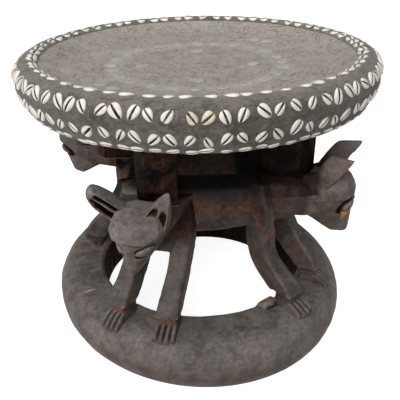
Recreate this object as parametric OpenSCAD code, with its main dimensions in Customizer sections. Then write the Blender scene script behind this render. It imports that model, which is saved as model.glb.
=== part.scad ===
// Round ceremonial stool: a dished seat with a cloth-covered, shell-studded rim, carried by
// four crouching animals that follow each other round a heavy oval base ring.
// Millimetres. The floor is z = 0, the seat's own axis is the z axis.

/* [Seat] */
// Diameter of the seat over the cloth, in mm
seat_d = 460; // [420:2:500]
// Height of the rim's crest above the floor, in mm
seat_h = 372; // [350:1:400]
// Radius of the rolled top of the rim, in mm
roll_r = 19; // [16:0.5:22]
// Depth of the rim from its crest to its lower edge, in mm
rim_depth = 55; // [50:1:62]
// Radius of the rim's flank below the roll, in mm
flank_r = 56; // [50:1:70]
// Depth of the carved panel's edge below the crest, in mm
panel_drop = 15; // [12:0.5:18]
// How much deeper the panel is at its middle than at its edge, in mm
dish_depth = 11; // [4:1:16]
// How far the seat's underside lies above the rim's lower edge, in mm
under_recess = 3; // [1:0.5:6]
// Thickness of the cloth over the rim, in mm
cloth_t = 1.5; // [1:0.1:2.5]

/* [Shells] */
// Length of a shell in the row on the crest, in mm
lip_shell_l = 17; // [12:0.5:18]
// Length of a shell in the upper row on the side, in mm
upper_shell_l = 18; // [12:0.5:19]
// Length of a shell in the lower row on the side, in mm
lower_shell_l = 17; // [12:0.5:18]
// Length of a shell in the row along the hem, in mm
hem_shell_l = 16; // [12:0.5:16.5]
// Width of a shell as a part of its length
shell_slim = 0.6; // [0.5:0.01:0.62]
// Height of a shell above the cloth as a part of its length
shell_rise = 0.24; // [0.18:0.01:0.27]
// Width of the slit along a shell, in mm
slit_w = 1.3; // [0.8:0.1:1.8]
// Number of shells on the crest
lip_shells = 64; // [48:4:64]
// Number of shells in each row on the side
side_shells = 80; // [60:4:80]
// Lean of the upper row's shells to left and right, in degrees
upper_lean = 40; // [0:1:45]
// Lean of the lower row's shells to left and right, in degrees
lower_lean = 32; // [0:1:40]

/* [Inlaid discs] */
// Diameter of a disc, in mm
disc_d = 19; // [14:0.5:22]
// How far a disc stands above the panel, in mm
disc_rise = 1.2; // [0.6:0.1:2]
// Radius of the large ring of discs, in mm
disc_ring_r = 111; // [100:1:120]
// Number of discs in the large ring
ring_discs = 24; // [16:4:28]
// Radius of the four inner discs, in mm
inner_disc_r = 71; // [50:1:76]
// Radius of the outer pairs of discs, in mm
outer_disc_r = 148; // [142:1:160]

/* [Base ring] */
// Longest diameter of the oval ring, in mm
ring_long = 462; // [445:1:475]
// Shortest diameter of the oval ring, in mm
ring_short = 420; // [405:1:435]
// Direction of the longest diameter, in degrees
ring_turn = -65.5; // [-90:0.5:90]
// Sideways offset of the ring from the seat's axis, in mm
ring_shift = -7; // [-10:0.5:10]
// Height of the ring where the feet stand, in mm
ring_h = 56; // [48:1:62]
// Radius of the ring's bulging outer side, in mm
bulge_r = 37; // [34:1:40]
// Radius of the hole at its top, in mm
hole_top_r = 152; // [140:1:156]
// Radius of the hole at the floor, in mm
hole_floor_r = 128; // [116:1:140]

/* [Animals] */
// Distance of an animal's spine from the seat's axis, in mm
body_off = 75; // [72:1:80]
// Width of a body, in mm
body_w = 50; // [46:1:54]
// Height of a body from belly to back, in mm
body_h = 66; // [58:1:70]
// Height of the back above the floor, in mm
back_z = 217; // [205:1:225]
// Distance of the shoulder ahead of the seat's axis, in mm
shoulder_x = 92; // [88:1:98]
// Extra width of the shoulders, in mm
shoulder_swell = 18; // [12:1:22]
// How far the neck drops from shoulder to head, in mm
neck_drop = 15; // [8:1:20]
// Height of the neck, in mm
neck_h = 46; // [40:1:52]
// Distance of the brow ahead of the seat's axis, in mm
brow_x = 203; // [196:1:208]
// Length of the head from the ears to the brow, in mm
head_l = 54; // [48:1:60]
// Width of the head across the cranium, in mm
head_w = 63; // [54:1:66]
// Height of the head from chin to crown, in mm
head_h = 80; // [72:1:86]
// Height of the crown above the floor, in mm
crown_z = 228; // [220:1:234]
// How far the nape lies inwards of the spine, in mm
nape_in = 10; // [4:1:14]
// Turn of the head outwards from the body, in degrees
head_turn = 20; // [10:1:30]
// How much higher each animal carries its head, in mm: front, right, back, left
head_lift = [0, 0, 6, 16];
// How much further down each animal's chin reaches, in mm: front, right, back, left
chin_drop = [-5, 5, 0, 0];
// Length of an ear, in mm
ear_l = 57; // [44:1:64]
// Width of an ear, in mm
ear_w = 34; // [24:1:36]
// Thickness of an ear at its root, in mm
ear_t = 14; // [10:1:16]
// Sideways lean of the outer ear of each animal, in degrees: front, right, back, left
outer_ear_lean = [34, 22, 26, 30];
// Sideways lean of the inner ear of each animal, in degrees: front, right, back, left
inner_ear_lean = [22, 8, 20, 20];

/* [Legs and posts] */
// Width of a leg, in mm
leg_w = 27; // [20:1:29]
// Extra width of the outer leg of each animal, in mm: front, right, back, left
outer_leg_extra = [8, 0, 0, 0];
// Depth of a leg from front to back, in mm
leg_d = 29; // [22:1:32]
// Width of a foot across its toes, in mm
foot_w = 30; // [26:1:34]
// Height of a foot at the ankle, in mm
foot_h = 17; // [13:1:20]
// Length of a foot from ankle to toe tips, in mm
foot_l = 30; // [24:1:36]
// Direction of the outer foot of each animal, in degrees: front, right, back, left
outer_foot_az = [-34, -48, -40, -36];
// Direction of the inner foot of each animal, in degrees: front, right, back, left
inner_foot_az = [-14, -24, -16, -12];
// Distance of the outer toe tips from the seat's axis, in mm: front, right, back, left
outer_toe_r = [206, 204, 204, 204];
// Distance of the inner toe tips from the seat's axis, in mm: front, right, back, left
inner_toe_r = [204, 199, 200, 182];
// Length of a post along its animal's body, in mm
post_l = 69; // [62:1:74]
// Width of a post across its animal's body, in mm
post_w = 48; // [40:1:52]
// Distance of a post's middle ahead of the seat's axis, in mm
post_x = 115; // [110:1:120]
// Distance of a post's middle to the side of the seat's axis, in mm
post_off = 51; // [48:1:56]
// Depth that a post is let into the shoulders, in mm
post_seat = 12; // [8:1:16]

/* [Hidden] */
$fn = 96;

wood = [0.25, 0.21, 0.19];
panel_wood = [0.55, 0.51, 0.48];
cloth_grey = [0.36, 0.35, 0.34];
shell_white = [0.92, 0.9, 0.85];
disc_pale = [0.68, 0.68, 0.6];

// Rim section: the roll's middle, the flank's middle and the panel's edge
crest_r = seat_d / 2 - roll_r;
roll_z = seat_h - roll_r;
rim_low_z = seat_h - rim_depth;
flank_c = seat_d / 2 - flank_r;
panel_z = seat_h - panel_drop;
panel_r = crest_r - sqrt(pow(roll_r, 2) - pow(panel_z - roll_z, 2));
under_z = rim_low_z + under_recess;
dish_r = (pow(panel_r, 2) + pow(dish_depth, 2)) / (2 * dish_depth);

// Where the rows of shells lie: angles up the roll, heights up the flank
lip_angle = 117;
upper_angle = 18;
lower_z = rim_low_z + 0.3 * rim_depth;
hem_z = rim_low_z + 0.08 * rim_depth;

// Base ring: height of its bulge's middle
bulge_z = ring_h - bulge_r;

// Animals: each is drawn walking along +x with its outer side at -y, then turned
turn = [-90, 0, 90, 180];
ring_sides = 20;

function squash_power(v, p) = sign(v) * pow(abs(v), p);

// A closed section: middle, half sizes along two directions, squareness, and a taper
// that narrows it towards the lower side
function section(mid, across, up, half_w, half_h, square = 3, taper = 0) = [
    for (i = [0:ring_sides - 1])
        let (t = 360 * (i + 0.5) / ring_sides,
            v = squash_power(sin(t), 2 / square),
            u = squash_power(cos(t), 2 / square) * (1 - taper * max(0, 0.3 - v) / 1.3))
        mid + across * half_w * u + up * half_h * v];

// Skins a list of sections, each with ring_sides points, into one closed solid
module skin(sections) {
    n = ring_sides;
    last = len(sections) - 1;
    points = [for (s = sections) for (p = s) p];
    sides = [for (k = [0:last - 1]) for (i = [0:n - 1])
        let (a = k * n + i, b = k * n + (i + 1) % n)
        each [[a, a + n, b], [b, a + n, b + n]]];
    first_cap = [for (i = [1:n - 2]) [0, i, i + 1]];
    last_cap = [for (i = [1:n - 2]) [last * n, last * n + i + 1, last * n + i]];
    polyhedron(points, concat(sides, first_cap, last_cap));
}

// Rim section in the r-z plane, drawn in by inset
module rim_section(inset) {
    intersection() {
        union() {
            intersection() {
                translate([crest_r, roll_z]) circle(r = roll_r - inset);
                translate([0, roll_z]) square([seat_d, roll_r]);
            }
            intersection() {
                translate([flank_c, roll_z]) circle(r = flank_r - inset);
                translate([panel_r, rim_low_z]) square([seat_d, roll_z - rim_low_z]);
            }
            translate([panel_r, roll_z]) square([crest_r - panel_r, panel_z - roll_z]);
        }
        translate([panel_r, rim_low_z]) square([seat_d, rim_depth]);
    }
}

// Height of the dished panel at distance r from the axis
function dish_z(r) = panel_z - dish_depth + dish_r - sqrt(pow(dish_r, 2) - pow(r, 2));

// The panel: a disc whose top is hollowed like a shallow dish, level at its very middle
module seat_panel() {
    level_r = 6;
    steps = 16;
    top = [for (i = [0:steps])
        let (r = level_r + (panel_r - level_r) * i / steps)
        [r, dish_z(r)]];
    color(panel_wood) rotate_extrude()
        polygon(concat([[0, under_z], [0, dish_z(level_r)]], top, [[panel_r, under_z]]));
}

module seat_rim() {
    color(wood) rotate_extrude() rim_section(cloth_t);
}

module rim_cloth() {
    color(cloth_grey) rotate_extrude() difference() {
        rim_section(0);
        rim_section(cloth_t);
    }
}

// One shell of length l on its flat back, its slit along x
module cowrie(l) {
    r = l * shell_slim / 2;
    rise = l * shell_rise;
    steps = 4;
    outline = [for (i = [-steps:steps])
        let (t = 90 * i / steps)
        [max(0, r * cos(t) * (1 + 0.16 * sin(t))), l / 2 * sin(t)]];
    difference() {
        translate([0, 0, rise - r]) rotate([0, 90, 0]) rotate_extrude($fn = 32) polygon(outline);
        translate([-l, -l, -2 * l]) cube(2 * l);
        translate([-0.42 * l, -slit_w / 2, 0.5 * rise]) cube([0.84 * l, slit_w, l]);
    }
}

// A row of shells on the rim at radius r and height z, with the surface's slope
module shell_row(count, r, z, slope, l, lean) {
    for (i = [0:count - 1])
        rotate([0, 0, 360 * (i + 0.5) / count])
            translate([r, 0, z])
                rotate([0, 90 - slope, 0])
                    rotate([0, 0, 90 + (i % 2 == 0 ? lean : -lean)])
                        cowrie(l);
}

module lip_shells() {
    color(shell_white) shell_row(lip_shells, crest_r + roll_r * cos(lip_angle),
        roll_z + roll_r * sin(lip_angle), lip_angle, lip_shell_l, 6);
}

module upper_shells() {
    color(shell_white) shell_row(side_shells, crest_r + roll_r * cos(upper_angle),
        roll_z + roll_r * sin(upper_angle), upper_angle, upper_shell_l, 90 - upper_lean);
}

// Slope of the flank at height z
function flank_slope(z) = asin((z - roll_z) / flank_r);

module flank_shells(z, l, lean) {
    slope = flank_slope(z);
    shell_row(side_shells, flank_c + flank_r * cos(slope), z, slope, l, lean);
}

module lower_shells() {
    color(shell_white) flank_shells(lower_z, lower_shell_l, 90 - lower_lean);
}

module hem_shells() {
    color(shell_white) flank_shells(hem_z, hem_shell_l, 8);
}

// A disc on the dished panel, square to its surface, its rim resting on the hollow
module disc(r, az) {
    rotate([0, 0, az]) translate([r, 0, dish_z(r)]) rotate([0, -asin(r / dish_r), 0])
        translate([0, 0, pow(disc_d, 2) / (8 * dish_r)]) cylinder(d = disc_d, h = disc_rise, $fn = 36);
}

module inlaid_discs() {
    outer_pairs = [-135, 50];
    pair_gap = 5;
    color(disc_pale) {
        for (i = [0:ring_discs - 1]) disc(disc_ring_r, 360 * i / ring_discs);
        for (i = [0:3]) disc(inner_disc_r, 90 * i);
        for (az = outer_pairs) for (side = [-1, 1]) disc(outer_disc_r, az + side * pair_gap);
    }
}

// Distance from the seat's axis to the ring's outermost edge in direction az
function ring_edge(az) =
    let (half = [ring_long / 2, ring_short / 2],
        ray = [cos(az - ring_turn) / half[0], sin(az - ring_turn) / half[1]],
        start = [-ring_shift * cos(ring_turn) / half[0], ring_shift * sin(ring_turn) / half[1]],
        b = ray * start)
    (-b + sqrt(pow(b, 2) - (ray * ray) * (start * start - 1))) / (ray * ray);

// The ring's section in direction az: wall of the hole, floor, bulging side and flat land
function ring_section(az, floor_r, top_r) =
    let (lip = 5,
        arc = 9,
        mid = ring_edge(az) - bulge_r,
        low = -asin(bulge_z / bulge_r))
    concat([[top_r + 2, ring_h], [top_r - 2, ring_h - lip], [floor_r, 0]],
        [for (i = [0:arc])
            let (t = low + (90 - low) * i / arc)
            [mid + bulge_r * cos(t), bulge_z + bulge_r * sin(t)]]);

// The whole ring: an oval outside round a hole that is centred under the seat
module ring_form(floor_r, top_r) {
    turns = 72;
    n = len(ring_section(0, floor_r, top_r));
    points = [for (k = [0:turns - 1])
        let (az = 360 * k / turns)
        for (p = ring_section(az, floor_r, top_r)) [p[0] * cos(az), p[0] * sin(az), p[1]]];
    faces = [for (k = [0:turns - 1]) for (i = [0:n - 1])
        let (a = k * n + i,
            b = k * n + (i + 1) % n,
            c = ((k + 1) % turns) * n + i,
            d = ((k + 1) % turns) * n + (i + 1) % n)
        each [[a, b, c], [b, d, c]]];
    polyhedron(points, faces);
}

module base_ring() {
    color(wood) ring_form(hole_floor_r, hole_top_r);
}

// Body of an animal, from inside the flank that it leans on to its chest
module body_form() {
    stations = [
        // along the body, part of the width, part of the height, shift inwards
        [-body_off, 0.9, 0.9, 0],
        [-0.6 * body_off, 0.98, 0.97, 0],
        [-0.1 * body_off, 1, 1, 0],
        [0.5 * body_off, 0.98, 0.98, 0],
        [shoulder_x - 0.55 * body_w, 1.02, 0.86, 0],
        [shoulder_x - 0.1 * body_w, 1.1 + shoulder_swell / body_w, 0.86, 0.6],
        [shoulder_x + 0.4 * body_w, 1.1 + shoulder_swell / body_w, 0.86, 0.6],
        [shoulder_x + 0.62 * body_w, 0.9, 0.74, 0.6]];
    skin([for (s = stations)
        section([s[0], -body_off + s[3] * shoulder_swell, back_z - s[2] * body_h / 2],
            [0, 1, 0], [0, 0, 1], s[1] * body_w / 2, s[2] * body_h / 2, 3.4)]);
}

// Post from the shoulders to the seat, an oblong with cut corners
module post_form() {
    cut = 11;
    outline = [for (c = [[1, 1, 0], [1, 1, 1], [-1, 1, 1], [-1, 1, 0],
            [-1, -1, 0], [-1, -1, 1], [1, -1, 1], [1, -1, 0]])
        [c[0] * (post_l / 2 - c[2] * cut), c[1] * (post_w / 2 - (1 - c[2]) * cut)]];
    foot_z = back_z - post_seat;
    translate([post_x, -post_off, foot_z]) linear_extrude(under_z - foot_z) polygon(outline);
}

// A body leans on the flank of the animal ahead of it and carries part of two posts
module body() {
    difference() {
        body_form();
        rotate([0, 0, -90]) body_form();
        post_form();
        rotate([0, 0, -90]) post_form();
    }
}

// Neck and head: level and then deep, the head turned outwards and narrowing to the chin
module neck_and_head(k) {
    lift = head_lift[k];
    deep = head_h + chin_drop[k];
    neck_z = back_z - neck_h / 2;
    head_z = crown_z + lift - deep / 2;
    nape = [brow_x - head_l, -body_off + nape_in];
    sections = [
        // distance from the nape, half width, middle, half height, taper, turn
        [shoulder_x + 4 - nape[0], 0.48 * body_w, neck_z - 3, 0.5 * neck_h, 0, 0],
        [shoulder_x + 24 - nape[0], 0.46 * body_w, neck_z - 0.4 * neck_drop, 0.5 * neck_h, 0.1, 0],
        [-12, 0.46 * body_w, neck_z - neck_drop + 0.7 * lift, 0.5 * neck_h, 0.15, 0.3],
        [5, 0.43 * head_w, head_z + 1, 0.41 * deep, 0.35, 0.8],
        [0.36 * head_l, 0.495 * head_w, head_z, 0.49 * deep, 0.7, 1],
        [0.6 * head_l, 0.5 * head_w, head_z, 0.5 * deep, 0.82, 1],
        [0.8 * head_l, 0.46 * head_w, head_z - 1, 0.48 * deep, 0.84, 1],
        [0.92 * head_l, 0.36 * head_w, head_z - 4, 0.42 * deep, 0.8, 1],
        [0.98 * head_l, 0.24 * head_w, head_z - 5, 0.33 * deep, 0.75, 1],
        [head_l, 0.1 * head_w, head_z - 6, 0.18 * deep, 0.7, 1]];
    skin([for (s = sections)
        let (turn = -s[5] * head_turn)
        section([nape[0] + s[0] * cos(turn), nape[1] + max(s[0], 0) * sin(turn), s[2]],
            [-sin(turn), cos(turn), 0], [0, 0, 1], s[1], s[3], 2.5, s[4])]);
}

// Places a feature on the head, measured from the nape at the height of the crown
module on_head(k) {
    translate([brow_x - head_l, -body_off + nape_in, crown_z + head_lift[k]])
        rotate([0, 0, -head_turn]) children();
}

// One ear: a blade from the crown forwards, up and to the side, cut flat at its tip
module ear(side, k) {
    root = 14;
    swing = 35;
    lean = side < 0 ? outer_ear_lean[k] : inner_ear_lean[k];
    // part of the ear's length, of its width and of its thickness
    stations = [[0, 0.85, 1], [0.4, 1, 0.8], [0.75, 0.88, 0.6], [1, 0.62, 0.45]];
    on_head(k) translate([0.12 * head_l, side * 0.33 * head_w, -root])
        rotate([-side * lean, 33, 0]) rotate([0, 0, side * swing])
            for (i = [0:2]) hull() for (s = [stations[i], stations[i + 1]])
                translate([0, 0, s[0] * ear_l]) scale([s[1] * ear_w / 2, s[2] * ear_t / 2, 1])
                    cylinder(r = 1, h = 1.5, $fn = 20);
}

// An almond eye bulging from the cheek
module eye(side, k) {
    eye_l = 17;
    on_head(k) translate([0.82 * head_l, side * 0.27 * head_w, -0.52 * head_h])
        rotate([side * 20, 0, -side * 35]) hull() {
            for (end = [-1, 1]) translate([end * eye_l / 2, 0, 0]) sphere(r = 1.2, $fn = 8);
            scale([1, 0.8, 1]) sphere(r = 5, $fn = 16);
        }
}

module head(k) {
    difference() {
        union() {
            neck_and_head(k);
            ear(-1, k);
            ear(1, k);
            eye(-1, k);
            eye(1, k);
        }
        body_form();
        post_form();
    }
}

// Middle of a leg from hip to sole; side is -1 for the outer leg and 1 for the inner one
function leg_path(az, toe_r, side) =
    let (dir = [cos(az), sin(az), 0],
        flank_y = -body_off + side * body_w / 2,
        inner = side > 0,
        hip = [shoulder_x + (inner ? 14 : -11), flank_y + (inner ? 17 : 8), back_z - 1],
        thigh = [hip[0], flank_y + (inner ? 26 : -3), back_z - 0.5 * body_h],
        groin = [hip[0] + (inner ? 4 : -1), flank_y + (inner ? 28 : 12), back_z - body_h],
        ankle = dir * (toe_r - foot_l) + [0, 0, ring_h + foot_h + 3],
        fall = ankle - groin,
        bend = inner ? [0.36, 0.75] : [0.14, 0.54],
        knee = groin + [bend[0] * fall[0], bend[0] * fall[1], 0.5 * fall[2]],
        shin = groin + [bend[1] * fall[0], bend[1] * fall[1], 0.8 * fall[2]],
        sole = dir * (toe_r - foot_l + 1) + [0, 0, ring_h - 3])
    [hip, thigh, groin, knee, shin, ankle, sole];

module leg_form(az, toe_r, side, wide) {
    path = leg_path(az, toe_r, side);
    // part of the leg's width and depth at each point of the path
    girth = [[0.75, 0.8], [1.05, 1.15], [1, 1.1], [0.92, 1.1], [0.96, 1.05], [1.06, 0.95], [1.1, 0.9]];
    across = [-sin(az), cos(az), 0];
    last = len(path) - 1;
    skin([for (k = [0:last])
        let (run = path[min(k + 1, last)] - path[max(k - 1, 0)],
            front = cross(run / norm(run), across))
        section(path[k], across, front / norm(front),
            girth[k][0] * wide / 2, girth[k][1] * leg_d / 2, 3)]);
}

// Four toes side by side, each a ridge that bends down at its knuckle
module foot_form(az, toe_r) {
    toes = 4;
    pitch = foot_w / toes;
    groove = 5;
    thin = 1;
    // along the foot, height, part of the full spread
    ends = [[-0.3, 1, 0.8], [0.5, 0.72, 0.92], [1, 0.3, 1]];
    rotate([0, 0, az]) translate([toe_r - foot_l, 0, ring_h])
        for (t = [0:toes - 1]) for (k = [0, 1]) hull() for (e = [ends[k], ends[k + 1]]) {
            width = pitch * e[2];
            translate([e[0] * foot_l - thin, (t - toes / 2) * width, -10])
                cube([thin, width, 10 + max(1, e[1] * foot_h - groove)]);
            translate([e[0] * foot_l - thin, (t - toes / 2 + 0.3) * width, -10])
                cube([thin, 0.4 * width, 10 + e[1] * foot_h]);
        }
}

module leg(side, k) {
    az = side < 0 ? outer_foot_az[k] : inner_foot_az[k];
    toe_r = side < 0 ? outer_toe_r[k] : inner_toe_r[k];
    difference() {
        union() {
            leg_form(az, toe_r, side, side < 0 ? leg_w + outer_leg_extra[k] : leg_w);
            foot_form(az, toe_r);
        }
        body_form();
        rotate([0, 0, 90]) body_form();
        neck_and_head(k);
        post_form();
        rotate([0, 0, -turn[k]]) ring_form(hole_floor_r - foot_l, hole_top_r - foot_l);
    }
}

module front_body() {
    color(wood) rotate([0, 0, turn[0]]) body();
}

module right_body() {
    color(wood) rotate([0, 0, turn[1]]) body();
}

module back_body() {
    color(wood) rotate([0, 0, turn[2]]) body();
}

module left_body() {
    color(wood) rotate([0, 0, turn[3]]) body();
}

module front_head() {
    color(wood) rotate([0, 0, turn[0]]) head(0);
}

module right_head() {
    color(wood) rotate([0, 0, turn[1]]) head(1);
}

module back_head() {
    color(wood) rotate([0, 0, turn[2]]) head(2);
}

module left_head() {
    color(wood) rotate([0, 0, turn[3]]) head(3);
}

module front_outer_leg() {
    color(wood) rotate([0, 0, turn[0]]) leg(-1, 0);
}

module right_outer_leg() {
    color(wood) rotate([0, 0, turn[1]]) leg(-1, 1);
}

module back_outer_leg() {
    color(wood) rotate([0, 0, turn[2]]) leg(-1, 2);
}

module left_outer_leg() {
    color(wood) rotate([0, 0, turn[3]]) leg(-1, 3);
}

module front_inner_leg() {
    color(wood) rotate([0, 0, turn[0]]) leg(1, 0);
}

module right_inner_leg() {
    color(wood) rotate([0, 0, turn[1]]) leg(1, 1);
}

module back_inner_leg() {
    color(wood) rotate([0, 0, turn[2]]) leg(1, 2);
}

module left_inner_leg() {
    color(wood) rotate([0, 0, turn[3]]) leg(1, 3);
}

module front_post() {
    color(wood) rotate([0, 0, turn[0]]) post_form();
}

module right_post() {
    color(wood) rotate([0, 0, turn[1]]) post_form();
}

module back_post() {
    color(wood) rotate([0, 0, turn[2]]) post_form();
}

module left_post() {
    color(wood) rotate([0, 0, turn[3]]) post_form();
}

seat_panel();
seat_rim();
rim_cloth();
lip_shells();
upper_shells();
lower_shells();
hem_shells();
inlaid_discs();
base_ring();
front_body();
right_body();
back_body();
left_body();
front_head();
right_head();
back_head();
left_head();
front_outer_leg();
right_outer_leg();
back_outer_leg();
left_outer_leg();
front_inner_leg();
right_inner_leg();
back_inner_leg();
left_inner_leg();
front_post();
right_post();
back_post();
left_post();
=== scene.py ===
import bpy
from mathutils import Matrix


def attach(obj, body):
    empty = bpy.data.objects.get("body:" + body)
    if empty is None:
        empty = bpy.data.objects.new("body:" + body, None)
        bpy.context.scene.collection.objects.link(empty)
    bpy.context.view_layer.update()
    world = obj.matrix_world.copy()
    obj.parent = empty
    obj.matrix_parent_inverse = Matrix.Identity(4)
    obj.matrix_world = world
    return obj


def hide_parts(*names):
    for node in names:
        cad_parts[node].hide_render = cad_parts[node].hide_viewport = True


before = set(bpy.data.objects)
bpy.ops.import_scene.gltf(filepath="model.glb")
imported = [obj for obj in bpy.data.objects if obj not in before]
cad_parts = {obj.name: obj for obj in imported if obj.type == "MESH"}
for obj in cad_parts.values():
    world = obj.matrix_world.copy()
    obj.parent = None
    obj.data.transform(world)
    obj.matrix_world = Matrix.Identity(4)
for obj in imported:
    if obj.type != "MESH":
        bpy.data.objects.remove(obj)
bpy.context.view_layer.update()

import math
from types import SimpleNamespace

import bmesh
import bpy
import numpy as np
from bpy.props import FloatProperty, FloatVectorProperty, IntProperty, PointerProperty
from mathutils import Euler, Vector, noise

bl_info = {
    "name": "Carved Animal Stool",
    "version": (1, 0, 0),
    "blender": (4, 5, 0),
    "location": "View3D > Sidebar > Stool",
    "description": "Builds a round carved stool with a shell-studded rim over its measured solids",
    "category": "Add Mesh",
}

# The animals, and how far each is turned from the one at the right; the tables below keep this order
ANIMALS = ("front", "right", "back", "left")
TURN = (-90.0, 0.0, 90.0, 180.0)
# Heads: how much higher each is held, how much deeper its chin hangs, and its brow's lean ahead per mm of height
HEAD_LIFT = (0.0, 0.0, 6.0, 16.0)
CHIN_DROP = (-5.0, 5.0, 0.0, 0.0)
BROW_AHEAD = (0.0, 0.0, 0.0, 0.25)
# Feet: direction from the seat's axis in degrees, and how far out the toes end
OUTER_FOOT = ((-36.3, 206), (-48, 204), (-40, 204), (-36, 204))
INNER_FOOT = ((-14, 204), (-24, 199), (-16, 200), (-10, 202))
# How far an ankle stands behind the ends of its toes
ANKLE_BACK = 30
# How far inside its flank an outer leg leaves the belly
OUTER_GROIN = (16.0, 12.0, 12.0, 12.0)
# Foremost point of each chest, and how far each post's foot is cut back in front
CHEST_FRONT = (137.0, 126.0, 124.0, 129.0)
POST_CUT_BACK = (28.0, 0.0, 0.0, 0.0)
# The same for all four: nape of the neck, turn of the head to the outside, and middle of the post
NAPE = (149.0, -65.0)
HEAD_TURN = 20.0
POST_MIDDLE = (115.0, -51.0)
# Squareness of the legs and necks in section
LEG_SQUARE = 7.0
# Thickness of the cloth, and how far inside the rim's widest line its lip lies
CLOTH_T = 1.4
LIP_INSIDE = 10
# Soft lamps: name, place in metres, power and width
LAMPS = (("front", (-0.35, -2.1, 1.95), 38.0, 1.1), ("overhead", (0.1, 0.1, 1.9), 17.0, 1.4),
         ("left", (-1.8, -1.2, 0.95), 13.0, 0.9))
# The camera that the photograph was fitted with: focal length and width in pixels, place, and tilt down and roll
FOCAL_PX, PICTURE_PX = 542.0, 400.0
CAMERA_PLACE = (0.0, -0.706, 0.533)
CAMERA_DOWN, CAMERA_ROLL = 28.7, -1.11


# sizes and colours

class StoolSizes(bpy.types.PropertyGroup):
    """Sizes of the stool that the pieces are drawn from"""
    seat_d: FloatProperty(name="Seat diameter", description="Diameter of the seat over its cloth",
                          default=0.460, unit="LENGTH")
    seat_h: FloatProperty(name="Seat height", description="Height of the rim's crest above the floor",
                          default=0.372, unit="LENGTH")
    roll_r: FloatProperty(name="Roll radius", description="Radius of the rolled top of the rim",
                          default=0.019, unit="LENGTH")
    rim_depth: FloatProperty(name="Rim depth", description="From the rim's crest to its lower edge",
                             default=0.055, unit="LENGTH")
    flank_r: FloatProperty(name="Flank radius", description="Radius of the rim's flank below the roll",
                           default=0.056, unit="LENGTH")
    panel_drop: FloatProperty(name="Panel drop", description="Depth of the panel's edge below the crest",
                              default=0.015, unit="LENGTH")
    dish_depth: FloatProperty(name="Dish depth", description="How much deeper the panel is at its middle",
                              default=0.011, unit="LENGTH")
    disc_d: FloatProperty(name="Disc diameter", description="Diameter of an inlaid disc",
                          default=0.019, unit="LENGTH")
    shell_l: FloatProperty(name="Shell length", description="Length of a shell in the upper row",
                           default=0.0185, unit="LENGTH")
    ring_long: FloatProperty(name="Ring length", description="Longest diameter of the oval base ring",
                             default=0.462, unit="LENGTH")
    ring_short: FloatProperty(name="Ring width", description="Shortest diameter of the oval base ring",
                              default=0.420, unit="LENGTH")
    ring_turn: FloatProperty(name="Ring direction", description="Direction of the longest diameter",
                             default=math.radians(-65.5), subtype="ANGLE")
    ring_shift: FloatProperty(name="Ring shift", description="Sideways offset of the ring from the seat's axis",
                              default=-0.007, unit="LENGTH")
    ring_h: FloatProperty(name="Ring height", description="Height of the ring where the feet stand",
                          default=0.056, unit="LENGTH")
    bulge_r: FloatProperty(name="Bulge radius", description="Radius of the ring's bulging outer side",
                           default=0.037, unit="LENGTH")
    hole_top_r: FloatProperty(name="Hole radius at the top", description="Radius of the ring's hole at its top",
                              default=0.152, unit="LENGTH")
    hole_floor_r: FloatProperty(name="Hole radius at the floor",
                                description="Radius of the ring's hole at the floor",
                                default=0.128, unit="LENGTH")
    body_off: FloatProperty(name="Body offset", description="Distance of an animal's spine from the seat's axis",
                            default=0.075, unit="LENGTH")
    body_w: FloatProperty(name="Body width", description="Width of a body", default=0.050, unit="LENGTH")
    body_h: FloatProperty(name="Body height", description="Height of a body from belly to back",
                          default=0.066, unit="LENGTH")
    back_z: FloatProperty(name="Back height", description="Height of a back above the floor",
                          default=0.217, unit="LENGTH")
    crown_z: FloatProperty(name="Crown height", description="Height of a head's crown above the floor",
                           default=0.228, unit="LENGTH")
    head_h: FloatProperty(name="Head height", description="Height of a head from chin to crown",
                          default=0.080, unit="LENGTH")
    leg_w: FloatProperty(name="Leg width", description="Width of a leg", default=0.027, unit="LENGTH")
    post_l: FloatProperty(name="Post length", description="Length of a post along its animal's body",
                          default=0.069, unit="LENGTH")
    post_w: FloatProperty(name="Post width", description="Width of a post across its animal's body",
                          default=0.048, unit="LENGTH")
    carving_step: FloatProperty(name="Carving detail", description="Size of the finest step in the carved animals",
                                default=0.0014, unit="LENGTH")
    seed: IntProperty(name="Seed", description="Seed of the small differences between shells and discs", default=7)


class StoolColours(bpy.types.PropertyGroup):
    """Colours of the stool's finishes"""
    wood_dark: FloatVectorProperty(name="Dark wood", description="Stained wood out of the light",
                                   default=(0.060, 0.040, 0.034), subtype="COLOR")
    wood_grey: FloatVectorProperty(name="Dusty wood", description="Wood greyed by dust and handling",
                                   default=(0.258, 0.230, 0.212), subtype="COLOR")
    wood_red: FloatVectorProperty(name="Worn wood", description="Reddish wood where the stain has worn off",
                                  default=(0.200, 0.080, 0.042), subtype="COLOR")
    wood_bare: FloatVectorProperty(name="Bare wood", description="Fresh wood in a chip",
                                   default=(0.560, 0.240, 0.055), subtype="COLOR")
    panel_grey: FloatVectorProperty(name="Panel", description="Greyed wood of the engraved panel",
                                    default=(0.350, 0.330, 0.305), subtype="COLOR")
    panel_brown: FloatVectorProperty(name="Engraving", description="Brown wood in the engraved strokes",
                                     default=(0.190, 0.135, 0.110), subtype="COLOR")
    cloth: FloatVectorProperty(name="Cloth", description="Grey cloth round the rim",
                               default=(0.136, 0.121, 0.101), subtype="COLOR")
    shell: FloatVectorProperty(name="Shell", description="White of the shells",
                               default=(0.860, 0.830, 0.760), subtype="COLOR")
    shell_tan: FloatVectorProperty(name="Stained shell", description="Tan of the stained shells",
                                   default=(0.620, 0.500, 0.340), subtype="COLOR")
    disc: FloatVectorProperty(name="Disc", description="Pale greenish cream of the inlaid discs",
                              default=(0.405, 0.392, 0.345), subtype="COLOR")


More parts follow.
